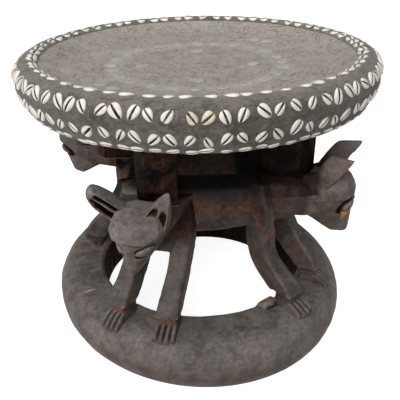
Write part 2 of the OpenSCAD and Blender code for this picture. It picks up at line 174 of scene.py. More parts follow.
def measures():
    """The sizes in millimetres, under the same names."""
    group = bpy.context.scene.stool_sizes
    sizes = {}
    for name, prop in StoolSizes.__annotations__.items():
        value = getattr(group, name)
        sizes[name] = value * 1000 if prop.keywords.get("unit") == "LENGTH" else value
    return SimpleNamespace(**sizes)


# meshes

def loft(rings, caps=True):
    """Points and faces of a skin over rings, each a list of the same number of points."""
    rings = np.asarray(rings, float)
    count, n = rings.shape[:2]
    points = rings.reshape(-1, 3)
    faces = [(k * n + i, k * n + (i + 1) % n, (k + 1) * n + (i + 1) % n, (k + 1) * n + i)
             for k in range(count - 1) for i in range(n)]
    if caps:
        points = np.vstack([points, rings[0].mean(0), rings[-1].mean(0)])
        first, last = count * n, count * n + 1
        base = (count - 1) * n
        faces += [(first, (i + 1) % n, i) for i in range(n)]
        faces += [(last, base + i, base + (i + 1) % n) for i in range(n)]
    return points, faces


def hoop(profile, steps, centre=(0.0, 0.0)):
    """Points and faces of a closed profile turned round the seat's axis; profile(az) gives r, z pairs."""
    rings = []
    for k in range(steps):
        az = 2 * math.pi * k / steps
        rings.append([(centre[0] + r * math.cos(az), centre[1] + r * math.sin(az), z) for r, z in profile(az)])
    n = len(rings[0])
    points = np.array(rings).reshape(-1, 3)
    faces = [(k * n + i, ((k + 1) % steps) * n + i, ((k + 1) % steps) * n + (i + 1) % n, k * n + (i + 1) % n)
             for k in range(steps) for i in range(n)]
    return points, faces


def hewn_block(corners):
    """Points and faces of a block cut flat between its corners."""
    work = bmesh.new()
    for corner in corners:
        work.verts.new(corner)
    made = bmesh.ops.convex_hull(work, input=work.verts)
    inner = [v for v in made["geom_interior"] if isinstance(v, bmesh.types.BMVert)]
    bmesh.ops.delete(work, geom=inner, context="VERTS")
    work.verts.index_update()
    points = np.array([v.co[:] for v in work.verts])
    faces = [tuple(v.index for v in face.verts) for face in work.faces]
    work.free()
    return points, faces


def outline(n, power):
    """A superellipse of half sizes 1 with n points; a high power is squarer."""
    t = (np.arange(n) + 0.5) * 2 * math.pi / n
    c, s = np.cos(t), np.sin(t)
    return np.sign(c) * np.abs(c) ** (2 / power), np.sign(s) * np.abs(s) ** (2 / power)


def section(mid, across, up, half_w, half_h, power=3.4, taper=0.0, n=40):
    """A closed section round mid; taper narrows it towards the lower side."""
    u, v = outline(n, power)
    u = u * (1 - taper * np.maximum(0, 0.3 - v) / 1.3)
    return np.asarray(mid) + np.outer(u * half_w, across) + np.outer(v * half_h, up)


def join_parts(parts):
    """One list of points and faces from several."""
    points, faces, start = [], [], 0
    for p, f in parts:
        points.append(np.asarray(p, float))
        faces += [tuple(i + start for i in face) for face in f]
        start += len(p)
    return np.vstack(points), faces


def turned(points, degrees):
    """Points turned about the seat's axis."""
    a = math.radians(degrees)
    x, y = points[:, 0].copy(), points[:, 1].copy()
    out = points.copy()
    out[:, 0] = x * math.cos(a) - y * math.sin(a)
    out[:, 1] = x * math.sin(a) + y * math.cos(a)
    return out


def new_mesh(name, points, faces):
    """A mesh from points in millimetres, its faces turned outwards."""
    mesh = bpy.data.meshes.new(name)
    mesh.from_pydata([tuple(p) for p in np.asarray(points) * 0.001], [], faces)
    work = bmesh.new()
    work.from_mesh(mesh)
    bmesh.ops.recalc_face_normals(work, faces=work.faces)
    work.to_mesh(mesh)
    work.free()
    mesh.update()
    return mesh


def fuse(name, parts, step, smoothing=2):
    """One continuous carved skin over overlapping closed parts, with its points in millimetres."""
    mesh = new_mesh(name, *join_parts(parts))
    rough = bpy.data.objects.new(name + "_rough", mesh)
    bpy.context.scene.collection.objects.link(rough)
    remesh = rough.modifiers.new("carve", "REMESH")
    remesh.mode = "VOXEL"
    remesh.voxel_size = step * 0.001
    if smoothing:
        soften = rough.modifiers.new("soften", "SMOOTH")
        soften.factor = 0.5
        soften.iterations = smoothing
    bpy.context.view_layer.update()
    skin = bpy.data.meshes.new_from_object(rough.evaluated_get(bpy.context.evaluated_depsgraph_get()))
    bpy.data.objects.remove(rough)
    bpy.data.meshes.remove(mesh)
    skin.name = name
    return skin


def points_of(mesh):
    """A mesh's points in millimetres."""
    co = np.zeros(len(mesh.vertices) * 3)
    mesh.vertices.foreach_get("co", co)
    return co.reshape(-1, 3) * 1000


def normals_of(mesh):
    """The direction in which the surface faces at each point."""
    mesh.update()
    no = np.zeros(len(mesh.vertices) * 3)
    mesh.vertex_normals.foreach_get("vector", no)
    return no.reshape(-1, 3)


def set_points(mesh, points):
    """Moves a mesh's points to these places in millimetres."""
    mesh.vertices.foreach_set("co", (np.asarray(points) * 0.001).ravel())
    mesh.update()


def set_value(mesh, name, values):
    """Keeps one number per point for the finishes to read."""
    mesh.attributes.new(name, "FLOAT", "POINT").data.foreach_set("value", np.asarray(values, np.float32))


def note_marks(mesh, bare=None, inside=None):
    """Marks the chips of bare wood, and the rough inner walls and the places painted dark as shade, for the finish.
    """
    none = np.zeros(len(mesh.vertices))
    set_value(mesh, "bare", none if bare is None else bare)
    set_value(mesh, "inside", none if inside is None else inside)


def note_curvature(mesh, rounds=8, gain=0.32):
    """Marks where the surface is an edge (above 0.5) or a hollow (below 0.5); the wood's finish paints shade in the
    hollows and lightens the edges.
    """
    co, no = points_of(mesh), normals_of(mesh)
    ends = np.zeros(len(mesh.edges) * 2, np.int64)
    mesh.edges.foreach_get("vertices", ends)
    a, b = ends.reshape(-1, 2).T
    n = len(co)
    count = np.maximum(np.bincount(a, minlength=n) + np.bincount(b, minlength=n), 1)
    soft = co.copy()
    for _ in range(rounds):
        near = [np.bincount(a, soft[b, i], n) + np.bincount(b, soft[a, i], n) for i in range(3)]
        soft = 0.4 * soft + 0.6 * np.stack(near, 1) / count[:, None]
    depth = ((soft - co) * no).sum(1)
    set_value(mesh, "curvature", np.clip(0.5 - gain * depth, 0, 1))


def hewn(mesh, depth=0.35, cell=13.0, waves=0.5, offset=0.0):
    """Shallow hollows of a blade and a slow unevenness over a carved skin."""
    co, no = points_of(mesh), normals_of(mesh)
    lift = np.empty(len(co))
    shift = Vector((offset, offset * 0.7, -offset))
    for i, p in enumerate(co):
        v = Vector(p) + shift
        near = noise.voronoi(v / cell)[0]
        lift[i] = depth * (near[1] - near[0] - 0.35) * -1.0 + waves * noise.noise(v / 34.0)
    set_points(mesh, co + no * lift[:, None])


def smooth_shading(mesh, sharp=None):
    """Smooth faces, with edges over the sharp angle in degrees left crisp."""
    mesh.polygons.foreach_set("use_smooth", [True] * len(mesh.polygons))
    if sharp is not None:
        work = bmesh.new()
        work.from_mesh(mesh)
        limit = math.radians(sharp)
        for edge in work.edges:
            if len(edge.link_faces) == 2 and edge.calc_face_angle(0) > limit:
                edge.smooth = False
        work.to_mesh(mesh)
        work.free()
    mesh.update()


def piece(name, mesh, finish, slot, *nodes):
    """Puts a finished mesh in the scene on the stool, standing for these solids."""
    obj = bpy.data.objects.new(name, mesh)
    bpy.context.scene.collection.objects.link(obj)
    mesh.materials.clear()
    mesh.materials.append(finish)
    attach(obj, "root")
    if nodes:
        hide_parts(*nodes)
    return obj


# finishes

def toned(colour, factor):
    """A colour made lighter or darker."""
    return [part * factor for part in colour]


class Finish:
    """A material and the short calls that lay out its nodes."""

    def __init__(self, name, roughness=0.6, specular=0.4):
        self.material = bpy.data.materials.new(name)
        self.material.use_nodes = True
        self.tree = self.material.node_tree
        self.tree.nodes.clear()
        self.out = self.tree.nodes.new("ShaderNodeOutputMaterial")
        self.shader = self.tree.nodes.new("ShaderNodeBsdfPrincipled")
        self.shader.inputs["Roughness"].default_value = roughness
        self.shader.inputs["Specular IOR Level"].default_value = specular
        self.tree.links.new(self.shader.outputs[0], self.out.inputs[0])
        self.coords = self.tree.nodes.new("ShaderNodeTexCoord").outputs["Object"]

    def node(self, kind, **settings):
        made = self.tree.nodes.new(kind)
        for key, value in settings.items():
            setattr(made, key, value)
        return made

    def feed(self, socket, value):
        if isinstance(value, bpy.types.NodeSocket):
            self.tree.links.new(value, socket)
        elif hasattr(value, "__len__") and len(socket.default_value) == 4 and len(value) == 3:
            socket.default_value = (*value, 1.0)
        else:
            socket.default_value = value

    def stretched(self, scale, turn=(0, 0, 0), at=None):
        mapping = self.node("ShaderNodeMapping")
        self.feed(mapping.inputs["Vector"], at or self.coords)
        mapping.inputs["Scale"].default_value = scale
        mapping.inputs["Rotation"].default_value = turn
        return mapping.outputs[0]

    def shifted(self, by):
        mapping = self.node("ShaderNodeMapping")
        self.feed(mapping.inputs["Vector"], self.coords)
        mapping.inputs["Location"].default_value = by
        return mapping.outputs[0]

    def noise(self, scale, detail=3.0, rough=0.5, at=None, distortion=0.0):
        n = self.node("ShaderNodeTexNoise")
        self.feed(n.inputs["Vector"], at or self.coords)
        n.inputs["Scale"].default_value = scale
        n.inputs["Detail"].default_value = detail
        n.inputs["Roughness"].default_value = rough
        n.inputs["Distortion"].default_value = distortion
        return n.outputs["Fac"]

    def cells(self, scale):
        n = self.node("ShaderNodeTexVoronoi")
        self.feed(n.inputs["Vector"], self.coords)
        n.inputs["Scale"].default_value = scale
        return n.outputs["Distance"]

    def ramp(self, value, low, high, start=0.0, end=1.0):
        n = self.node("ShaderNodeMapRange", interpolation_type="SMOOTHSTEP")
        for key, number in (("Value", value), ("From Min", low), ("From Max", high), ("To Min", start),
                            ("To Max", end)):
            self.feed(n.inputs[key], number)
        return n.outputs[0]

    def calc(self, operation, a, b=0.0):
        n = self.node("ShaderNodeMath", operation=operation)
        self.feed(n.inputs[0], a)
        self.feed(n.inputs[1], b)
        return n.outputs[0]

    def product(self, first, *others):
        for other in others:
            first = self.calc("MULTIPLY", first, other)
        return first

    def mix(self, amount, a, b, blend="MIX"):
        n = self.node("ShaderNodeMix", data_type="RGBA", blend_type=blend)
        self.feed(n.inputs["Factor"], amount)
        self.feed(n.inputs["A"], a)
        self.feed(n.inputs["B"], b)
        return n.outputs["Result"]

    def value(self, name):
        return self.node("ShaderNodeAttribute", attribute_name=name).outputs["Fac"]

    def facing_up(self):
        split = self.node("ShaderNodeSeparateXYZ")
        self.feed(split.inputs[0], self.node("ShaderNodeNewGeometry").outputs["Normal"])
        return split.outputs["Z"]

    def axis(self, which):
        split = self.node("ShaderNodeSeparateXYZ")
        self.feed(split.inputs[0], self.coords)
        return split.outputs[which]

    def radius(self):
        """Distance from the seat's axis."""
        x, y = self.axis("X"), self.axis("Y")
        return self.calc("SQRT", self.calc("ADD", self.product(x, x), self.product(y, y)))

    def bump(self, height, distance, strength=1.0):
        n = self.node("ShaderNodeBump")
        n.inputs["Strength"].default_value = strength
        n.inputs["Distance"].default_value = distance
        self.feed(n.inputs["Height"], height)
        before = self.shader.inputs["Normal"]
        if before.is_linked:
            self.feed(n.inputs["Normal"], before.links[0].from_socket)
        self.feed(before, n.outputs[0])

    def colour(self, value):
        self.feed(self.shader.inputs["Base Color"], value)

    def rough(self, value):
        self.feed(self.shader.inputs["Roughness"], value)


def carved_wood(name, dust=0.5, red=0.5, spots=0.0, grain=(1, 1, 0.14), dark=1.0, scratch=None, low=-0.2,
                pale=1.0, reach=0.150):
    """Stained wood: painted darker in its hollows as their shade, dusty on top, reddish where hands and edges have
    worn it, and lighter on its edges, partly from wear and partly as a painted highlight.

    dust, red and spots are strengths; dark and pale set the tone of the stain and of the dust. low is the steepest
    slope that holds dust. A scratch has a middle, a direction and a half length; with a scratch, the front of the
    piece is also painted darker as shade. Above, within reach of the axis, the wood is painted nearly black as the
    shade under the seat.
    """
    tint = bpy.context.scene.stool_colours
    f = Finish(name, roughness=0.62, specular=0.22 if dust else 0.06)
    curvature = f.value("curvature")
    broad = f.noise(13, 4, 0.6)
    mottle = f.noise(48, 5, 0.62, distortion=0.3)
    fine = f.noise(170, 5, 0.7)
    streak = f.noise(330, 4, 0.6, at=f.stretched(grain))
    up = f.facing_up()
    y, z, r = f.axis("Y"), f.axis("Z"), f.radius()
    base = f.mix(f.ramp(mottle, 0.40, 0.62), toned(tint.wood_dark, 0.35 * dark),
                 toned(tint.wood_dark, 1.4 * dark))
    base = f.mix(f.ramp(streak, 0.42, 0.72, 0.0, 0.6), base, toned(tint.wood_dark, 0.35 * dark))
    # Rough inner walls, and places painted dark as shade, marked point by point.
    inside = f.value("inside")
    # Painted shade of the seat: wood high up and near the axis is darkened and keeps little dust.
    painted_seat_shade = f.product(f.ramp(r, reach, reach - 0.04), f.ramp(z, 0.17, 0.20))
    dusty = f.product(f.calc("MAXIMUM", f.ramp(up, low, 0.8, 0.05, 1.0), f.ramp(z, 0.215, 0.11, 0.0, 0.46)),
                      f.ramp(broad, 0.25, 0.7, 0.6, 1.0), f.ramp(curvature, 0.28, 0.52, 0.3, 1.0),
                      f.ramp(mottle, 0.36, 0.60, 0.72, 1.0), f.ramp(inside, 0.1, 0.6, 1.0, 0.3),
                      f.ramp(painted_seat_shade, 0.0, 1.0, 1.0, 0.05))
    grey = f.mix(f.ramp(fine, 0.38, 0.64), toned(tint.wood_grey, 0.74 * pale),
                 toned(tint.wood_grey, 1.16 * pale))
    base = f.mix(f.product(dusty, dust), base, grey)
    patch = f.ramp(f.noise(22, 5, 0.72, distortion=0.5), 0.47, 0.62)
    side = f.ramp(up, 0.6, -0.1)
    worn = f.product(patch, side, f.ramp(streak, 0.3, 0.62, 0.25, 1.0))
    base = f.mix(f.product(worn, red), base, tint.wood_red)
    # Edges are lightened, partly as wear and partly as a painted highlight.
    edge = f.product(f.ramp(curvature, 0.58, 0.80), f.ramp(fine, 0.32, 0.6, 0.35, 1.0))
    base = f.mix(f.product(edge, 0.75), base,
                 [0.55 * a + 0.95 * b for a, b in zip(tint.wood_red, tint.wood_grey)])
    if spots:
        dots = f.ramp(f.cells(66), 0.28, 0.17)
        base = f.mix(f.product(dots, side, spots), base, toned(tint.wood_dark, 0.35))
    # Painted shade: the hollows are darkened towards black.
    base = f.mix(f.ramp(curvature, 0.45, 0.24, 0.0, 0.85), base, toned(tint.wood_dark, 0.2))
    stain = f.ramp(f.noise(31, 5, 0.7, distortion=0.4), 0.56, 0.68)
    base = f.mix(f.product(stain, 0.5), base, toned(tint.wood_dark, 0.6 * dark))
    if scratch:
        line = f.stretched((1, 1, 1), (0, 0, -scratch[2]), f.shifted((-scratch[0], -scratch[1], 0)))
        cut = f.node("ShaderNodeSeparateXYZ")
        f.feed(cut.inputs[0], line)
        near = f.product(f.ramp(f.calc("ABSOLUTE", cut.outputs["X"]), scratch[3], 0.8 * scratch[3]),
                     f.ramp(f.calc("ABSOLUTE", cut.outputs["Y"]), 0.0009, 0.0004))
        base = f.mix(near, base, toned(tint.wood_grey, 2.6))
        # Painted shade: the ring is darkened towards its front.
        base = f.mix(f.ramp(y, -0.17, -0.23, 0.0, 0.22), base, toned(tint.wood_dark, 0.5))
    # Painted shade of the seat, strongest on the surfaces under it that face up.
    base = f.mix(f.product(painted_seat_shade, f.ramp(up, -0.2, 0.6, 0.35, 0.9)), base, toned(tint.wood_dark, 0.10))
    # Rough walls: dark wood with reddish streaks, painted near black as shade where the mark is strong.
    rough_wall_and_shade = f.mix(f.ramp(mottle, 0.42, 0.66), toned(tint.wood_dark, 0.3), toned(tint.wood_red, 0.30))
    rough_wall_and_shade = f.mix(f.ramp(streak, 0.48, 0.62, 0.0, 0.6), rough_wall_and_shade, toned(tint.wood_dark, 0.2))
    rough_wall_and_shade = f.mix(f.ramp(inside, 0.72, 0.85), rough_wall_and_shade, toned(tint.wood_dark, 0.12))
    base = f.mix(f.ramp(inside, 0.05, 0.75, 0.0, 0.96), base, rough_wall_and_shade)
    gloss = f.shader.inputs["Specular IOR Level"]
    f.feed(gloss, f.ramp(inside, 0.1, 0.7, gloss.default_value, 0.02))
    bare = f.value("bare")
    base = f.mix(f.product(bare, f.ramp(fine, 0.3, 0.6, 0.55, 1.0)), base, tint.wood_bare)
    f.colour(base)
    f.rough(f.ramp(fine, 0.3, 0.75, 0.50, 0.80))
    f.bump(f.noise(420, 4, 0.6, at=f.stretched(grain)), 0.0010, 0.7)
    f.bump(mottle, 0.0030, 0.6)
    return f.material


def panel_finish():
    """Greyed wood engraved with sprays of short curved strokes round a middle."""
    tint = bpy.context.scene.stool_colours
    f = Finish("engraved_panel", roughness=0.6, specular=0.3)
    r = f.radius()
    broad = f.noise(9, 3, 0.5)
    wavering = f.calc("ADD", r, f.product(f.noise(24, 3, 0.6), 0.03))
    band = f.calc("ABSOLUTE", f.calc("SUBTRACT", wavering, 0.126))
    field = f.product(f.ramp(band, 0.004, 0.016), f.ramp(r, 0.203, 0.196))

    def strokes(scale, leaves, lean, shift):
        """One short curved stroke to each cell, leaning to one side or the other of its leaf."""
        cell = f.node("ShaderNodeTexVoronoi", voronoi_dimensions="2D")
        f.feed(cell.inputs["Vector"], f.shifted((shift, shift, 0)))
        cell.inputs["Scale"].default_value = scale
        away = f.node("ShaderNodeVectorMath", operation="SUBTRACT")
        f.feed(away.inputs[0], f.shifted((shift, shift, 0)))
        f.feed(away.inputs[1], cell.outputs["Position"])
        split, middle = f.node("ShaderNodeSeparateXYZ"), f.node("ShaderNodeSeparateXYZ")
        f.feed(split.inputs[0], away.outputs[0])
        f.feed(middle.inputs[0], cell.outputs["Position"])
        way = f.calc("ARCTAN2", f.calc("SUBTRACT", middle.outputs["Y"], shift),
                     f.calc("SUBTRACT", middle.outputs["X"], shift))
        leaf = f.product(f.calc("ADD", way, f.product(broad, 0.6)), leaves)
        side = f.calc("SIGN", f.calc("SINE", leaf))
        stray = f.product(f.noise(26, 2, 0.5), 5.0)
        turn = f.calc("ADD", way, f.calc("ADD", f.product(side, lean), stray))
        c, n = f.calc("COSINE", turn), f.calc("SINE", turn)
        u = f.calc("ADD", f.product(split.outputs["X"], c), f.product(split.outputs["Y"], n))
        v = f.calc("SUBTRACT", f.product(split.outputs["Y"], c), f.product(split.outputs["X"], n))
        v = f.calc("ADD", v, f.product(u, u, 22.0))
        light = f.ramp(f.noise(55, 3, 0.6), 0.38, 0.62, 0.15, 1.0)
        across = f.ramp(f.calc("ABSOLUTE", v), 0.0008, 0.0002)
        along = f.ramp(f.calc("ABSOLUTE", u), 0.0095, 0.0060)
        return f.product(across, light, along)

    cut = f.calc("MAXIMUM", strokes(80, 3.5, 0.7, 0.0), strokes(72, 5.5, 0.75, 0.61))
    cut = f.calc("MAXIMUM", cut, strokes(88, 2.5, 0.6, 1.37))
    cut = f.product(f.calc("MAXIMUM", cut, strokes(96, 4.5, 0.9, 2.13)), field)
    base = f.mix(f.ramp(broad, 0.3, 0.7), toned(tint.panel_grey, 0.93), toned(tint.panel_grey, 1.1))
    brown = f.product(f.ramp(f.noise(24, 5, 0.65), 0.36, 0.56), field)
    base = f.mix(f.product(brown, 0.7), base, (0.345, 0.292, 0.252))
    base = f.mix(f.ramp(f.noise(260, 5, 0.7), 0.5, 0.66, 0.0, 0.5), base, toned(tint.panel_grey, 0.6))
    base = f.mix(f.ramp(f.noise(190, 5, 0.7), 0.46, 0.34, 0.0, 0.45), base, toned(tint.panel_grey, 1.35))
    base = f.mix(f.product(cut, 0.44), base, toned(tint.panel_brown, 0.8))
    f.colour(base)
    f.rough(f.ramp(f.noise(60, 3, 0.5), 0.3, 0.7, 0.5, 0.72))
    f.bump(f.product(cut, -1.0), 0.0012, 0.8)
    f.bump(f.noise(160, 4, 0.6), 0.0008, 0.4)
    return f.material


def cloth_finish():
    """Old grey cloth: a fine weave, rubbed paler on its crest, with stains."""
    tint = bpy.context.scene.stool_colours
    f = Finish("rim_cloth", roughness=0.88, specular=0.15)
    x, y, z = f.axis("X"), f.axis("Y"), f.axis("Z")
    az = f.calc("ARCTAN2", y, x)
    warp = f.calc("SINE", f.product(az, 1900.0))
    weft = f.calc("SINE", f.product(z, 7600.0))
    weave = f.product(f.calc("ADD", warp, weft), 0.5)
    round_rim = f.node("ShaderNodeCombineXYZ")
    f.feed(round_rim.inputs[0], f.product(az, 0.10))
    f.feed(round_rim.inputs[1], z)
    f.feed(round_rim.inputs[2], f.radius())
    crease = f.noise(95, 5, 0.7, at=round_rim.outputs[0], distortion=0.6)
    broad = f.noise(17, 5, 0.65, distortion=0.4)
    fine = f.noise(210, 5, 0.7)
    base = f.mix(f.ramp(broad, 0.34, 0.64), toned(tint.cloth, 0.62), toned(tint.cloth, 1.06))
    top = f.product(f.ramp(f.facing_up(), -0.05, 0.85), f.ramp(broad, 0.25, 0.7, 0.55, 1.0))
    base = f.mix(top, base, toned(tint.cloth, 1.30))
    base = f.mix(f.ramp(crease, 0.50, 0.60, 0.0, 0.6), base, toned(tint.cloth, 0.4))
    base = f.mix(f.ramp(crease, 0.44, 0.36, 0.0, 0.4), base, toned(tint.cloth, 1.9))
    base = f.mix(f.ramp(fine, 0.52, 0.64, 0.0, 0.5), base, toned(tint.cloth, 1.9))
    base = f.mix(f.ramp(fine, 0.47, 0.36, 0.0, 0.55), base, toned(tint.cloth, 0.4))
    f.colour(base)
    f.shader.inputs["Sheen Weight"].default_value = 0.25
    f.bump(weave, 0.0003, 0.5)
    f.bump(fine, 0.0012, 0.5)
    f.bump(crease, 0.0035, 0.6)
    return f.material


def shell_finish():
    """Glossy white shell with a toothed slit painted near black as its shade; a few are stained tan."""
    tint = bpy.context.scene.stool_colours
    f = Finish("shell", roughness=0.3, specular=0.5)
    stain = f.value("stain")
    slit = f.value("slit")
    mottle = f.noise(260, 3, 0.6)
    base = f.mix(f.ramp(mottle, 0.35, 0.7), tint.shell, toned(tint.shell, 0.9))
    streak = f.noise(420, 3, 0.6, at=f.stretched((1, 1, 0.3)))
    base = f.mix(f.product(stain, f.ramp(streak, 0.35, 0.6, 0.5, 1.0)), base, tint.shell_tan)
    base = f.mix(f.ramp(slit, 0.02, 0.24, 0.0, 0.55), base, tint.shell_tan)
    # Painted shade: the slit's walls go near black.
    base = f.mix(f.ramp(slit, 0.35, 0.72), base, (0.010, 0.008, 0.006))
    f.colour(base)
    f.rough(f.ramp(slit, 0.3, 0.8, 0.28, 0.85))
    f.bump(mottle, 0.0004, 0.3)
    return f.material


def disc_finish():
    """Dull pale inlay with fine cracks, and painted shade round its edge."""
    tint = bpy.context.scene.stool_colours
    f = Finish("inlaid_disc", roughness=0.5, specular=0.35)
    rim = f.value("rim")
    base = f.mix(f.ramp(f.noise(60, 3, 0.6), 0.35, 0.7), toned(tint.disc, 0.82), toned(tint.disc, 1.12))
    base = f.mix(f.ramp(f.noise(220, 5, 0.7), 0.55, 0.7, 0.0, 0.4), base, toned(tint.disc, 0.55))
    # Painted shade round the disc's edge.
    base = f.mix(f.ramp(rim, 0.55, 1.0, 0.0, 0.7), base, toned(tint.panel_brown, 0.6))
    f.colour(base)
    f.bump(f.noise(300, 4, 0.6), 0.0005, 0.4)
    return f.material


# the seat's shape

def rim_point(m, angle):
    """A point of the rim's surface in the r-z plane: the crest is at angle 90, the widest line at 0."""
    roll_c, roll_z = m.seat_d / 2 - m.roll_r, m.seat_h - m.roll_r
    a = math.radians(angle)
    if angle >= 0:
        return roll_c + m.roll_r * math.cos(a), roll_z + m.roll_r * math.sin(a)
    return m.seat_d / 2 - m.flank_r + m.flank_r * math.cos(a), roll_z + m.flank_r * math.sin(a)


def low_angle(m):
    """The angle at which the flank ends in the rim's lower edge."""
    return math.degrees(math.asin((m.roll_r - m.rim_depth) / m.flank_r))


def lip_radius(m):
    """Where the panel's border meets the lip of the rim."""
    return m.seat_d / 2 - m.roll_r - LIP_INSIDE


def panel_radius(m):
    """Where the dish of the panel, carried on, would meet the roll's inner side."""
    roll_c, roll_z = m.seat_d / 2 - m.roll_r, m.seat_h - m.roll_r
    return roll_c - math.sqrt(m.roll_r ** 2 - (m.seat_h - m.panel_drop - roll_z) ** 2)


def dish_z(m, r):
    """Height of the shallow dish at a distance from the axis."""
    edge = panel_radius(m)
    big = (edge ** 2 + m.dish_depth ** 2) / (2 * m.dish_depth)
    return m.seat_h - m.panel_drop - m.dish_depth + big - math.sqrt(big ** 2 - min(r, edge) ** 2)


def panel_z(m, r):
    """Height of the panel: a shallow dish whose border rises to the lip of the rim."""
    border = 29
    rise = max(0.0, (r - lip_radius(m) + border) / border)
    return dish_z(m, r) + (m.panel_drop - 4.3) * rise ** 1.4


def make_panel(m):
    """The dished panel, from its middle to its wall under the rim, and its flat underside."""
    lip = lip_radius(m)
    wall = panel_radius(m) - 0.1
    roll_c, roll_z, wood_r = m.seat_d / 2 - m.roll_r, m.seat_h - m.roll_r, m.roll_r - CLOTH_T
    under = m.seat_h - m.rim_depth + 3
    steps = 320
    rings = []
    for r in np.linspace(3, lip, 92):
        ring = []
        for k in range(steps):
            az = 2 * math.pi * k / steps
            p = Vector((r * math.cos(az), r * math.sin(az), 0))
            lift = 0.35 * noise.noise(p / 22) + 0.6 * noise.noise(p / 60)
            ring.append((p.x, p.y, panel_z(m, r) + lift * min(1.0, (lip - r) / 12)))
        rings.append(ring)
    brim = rings[-1]
    for r in np.linspace(lip, wall, 8):
        z = roll_z + math.sqrt(max(0.0, wood_r ** 2 - (r - roll_c) ** 2)) if r > roll_c - wood_r else roll_z
        rings.append([(r * x / lip, r * y / lip, min(z, panel_z(m, r) - 0.3)) for x, y, _ in brim])
    rings.append([(x, y, under) for x, y, _ in rings[-1]])
    rings.append([(0.02 * x, 0.02 * y, under) for x, y, _ in rings[-1]])
    mesh = new_mesh("seat_panel", *loft(rings))
    smooth_shading(mesh, 50)
    return mesh


def make_discs(m):
    """The inlaid discs, each a little uneven and worn round at its edge."""
    places = [(111.0, 15.0 * i) for i in range(24)] + [(71.0, 90.0 * i) for i in range(4)]
    places += [(148.0, az + side * 5.0) for az in (-135, 50) for side in (-1, 1)]
    rng = np.random.default_rng(int(m.seed))
    parts, rims = [], []
    # part of the radius, height, and how much of the painted shade round the edge it takes
    profile = [(0.55, 1.2, 0.0), (0.82, 1.0, 0.1), (0.95, 0.65, 0.5), (1.0, 0.0, 1.0), (1.0, -1.4, 1.0)]
    n = 28
    for r, az in places:
        size = m.disc_d / 2 * rng.uniform(0.9, 1.04)
        wobble = rng.uniform(0, 6.28, 3)
        a = math.radians(az + rng.uniform(-0.7, 0.7))
        r = r + rng.uniform(-1.2, 1.2)
        base = dish_z(m, r)
        slope = (dish_z(m, r + 1) - base)
        rings = []
        for part, height, _ in profile:
            ring = []
            for i in range(n):
                t = 2 * math.pi * i / n
                reach = size * part * (1 + 0.03 * math.sin(2 * t + wobble[0]) + 0.02 * math.sin(3 * t + wobble[1]))
                dx, dy = reach * math.cos(t), reach * math.sin(t)
                ring.append(((r + dx) * math.cos(a) - dy * math.sin(a), (r + dx) * math.sin(a) + dy * math.cos(a),
                             base + height + slope * dx + 0.1))
            rings.append(ring)
        parts.append(loft(rings))
        rims += [p[2] for p in profile for _ in range(n)] + [0.0, 1.0]
    points, faces = join_parts(parts)
    mesh = new_mesh("inlaid_discs", points, faces)
    set_value(mesh, "rim", rims)
    smooth_shading(mesh, 60)
    return mesh


def cloth_swell(az, angle):
    """How far the cloth stands off the wood: folds, sags and a nap that varies."""
    p = Vector((math.cos(az) * 5.2, math.sin(az) * 5.2, angle / 42))
    swell = 0.45 * noise.noise(p) + 0.30 * noise.noise(p * 2.7)
    pull = noise.noise(Vector((math.cos(az) * 17, math.sin(az) * 17, angle / 60 + 0.9 * math.sin(az * 9))))
    return swell + 0.45 * max(0.0, pull - 0.12)


def make_cloth(m):
    """The cloth over the rim, from the panel's lip to where it turns in under the lower edge."""
    low = low_angle(m)
    angles = np.concatenate([np.linspace(low, 0, 18), np.linspace(5, 130, 28)])

    def profile(az):
        pairs = []
        reach = 1 + 0.035 * noise.noise(Vector((math.cos(az) * 9, math.sin(az) * 9, 8.0)))
        slopes = [a * reach if a > 90 else a for a in angles]
        for angle in slopes:
            r, z = rim_point(m, angle)
            swell = cloth_swell(az, angle) - (0.5 if angle > 124 else 0)
            a = math.radians(angle)
            pairs.append((r + swell * math.cos(a), z + swell * math.sin(a)))
        r_low, z_low = rim_point(m, low)
        ragged = 1.6 * noise.noise(Vector((math.cos(az) * 12, math.sin(az) * 12, 3.0)))
        for angle in slopes[::-1]:
            r, z = rim_point(m, angle)
            a = math.radians(angle)
            pairs.append((r - CLOTH_T * math.cos(a), z - CLOTH_T * math.sin(a)))
        pairs += [(r_low - 14 + ragged, z_low + 0.3), (r_low - 14 + ragged, z_low - 1.0), (r_low - 3, z_low - 1.3)]
        return pairs

    mesh = new_mesh("rim_cloth", *hoop(profile, 420))
    smooth_shading(mesh, 70)
    return mesh


# shells

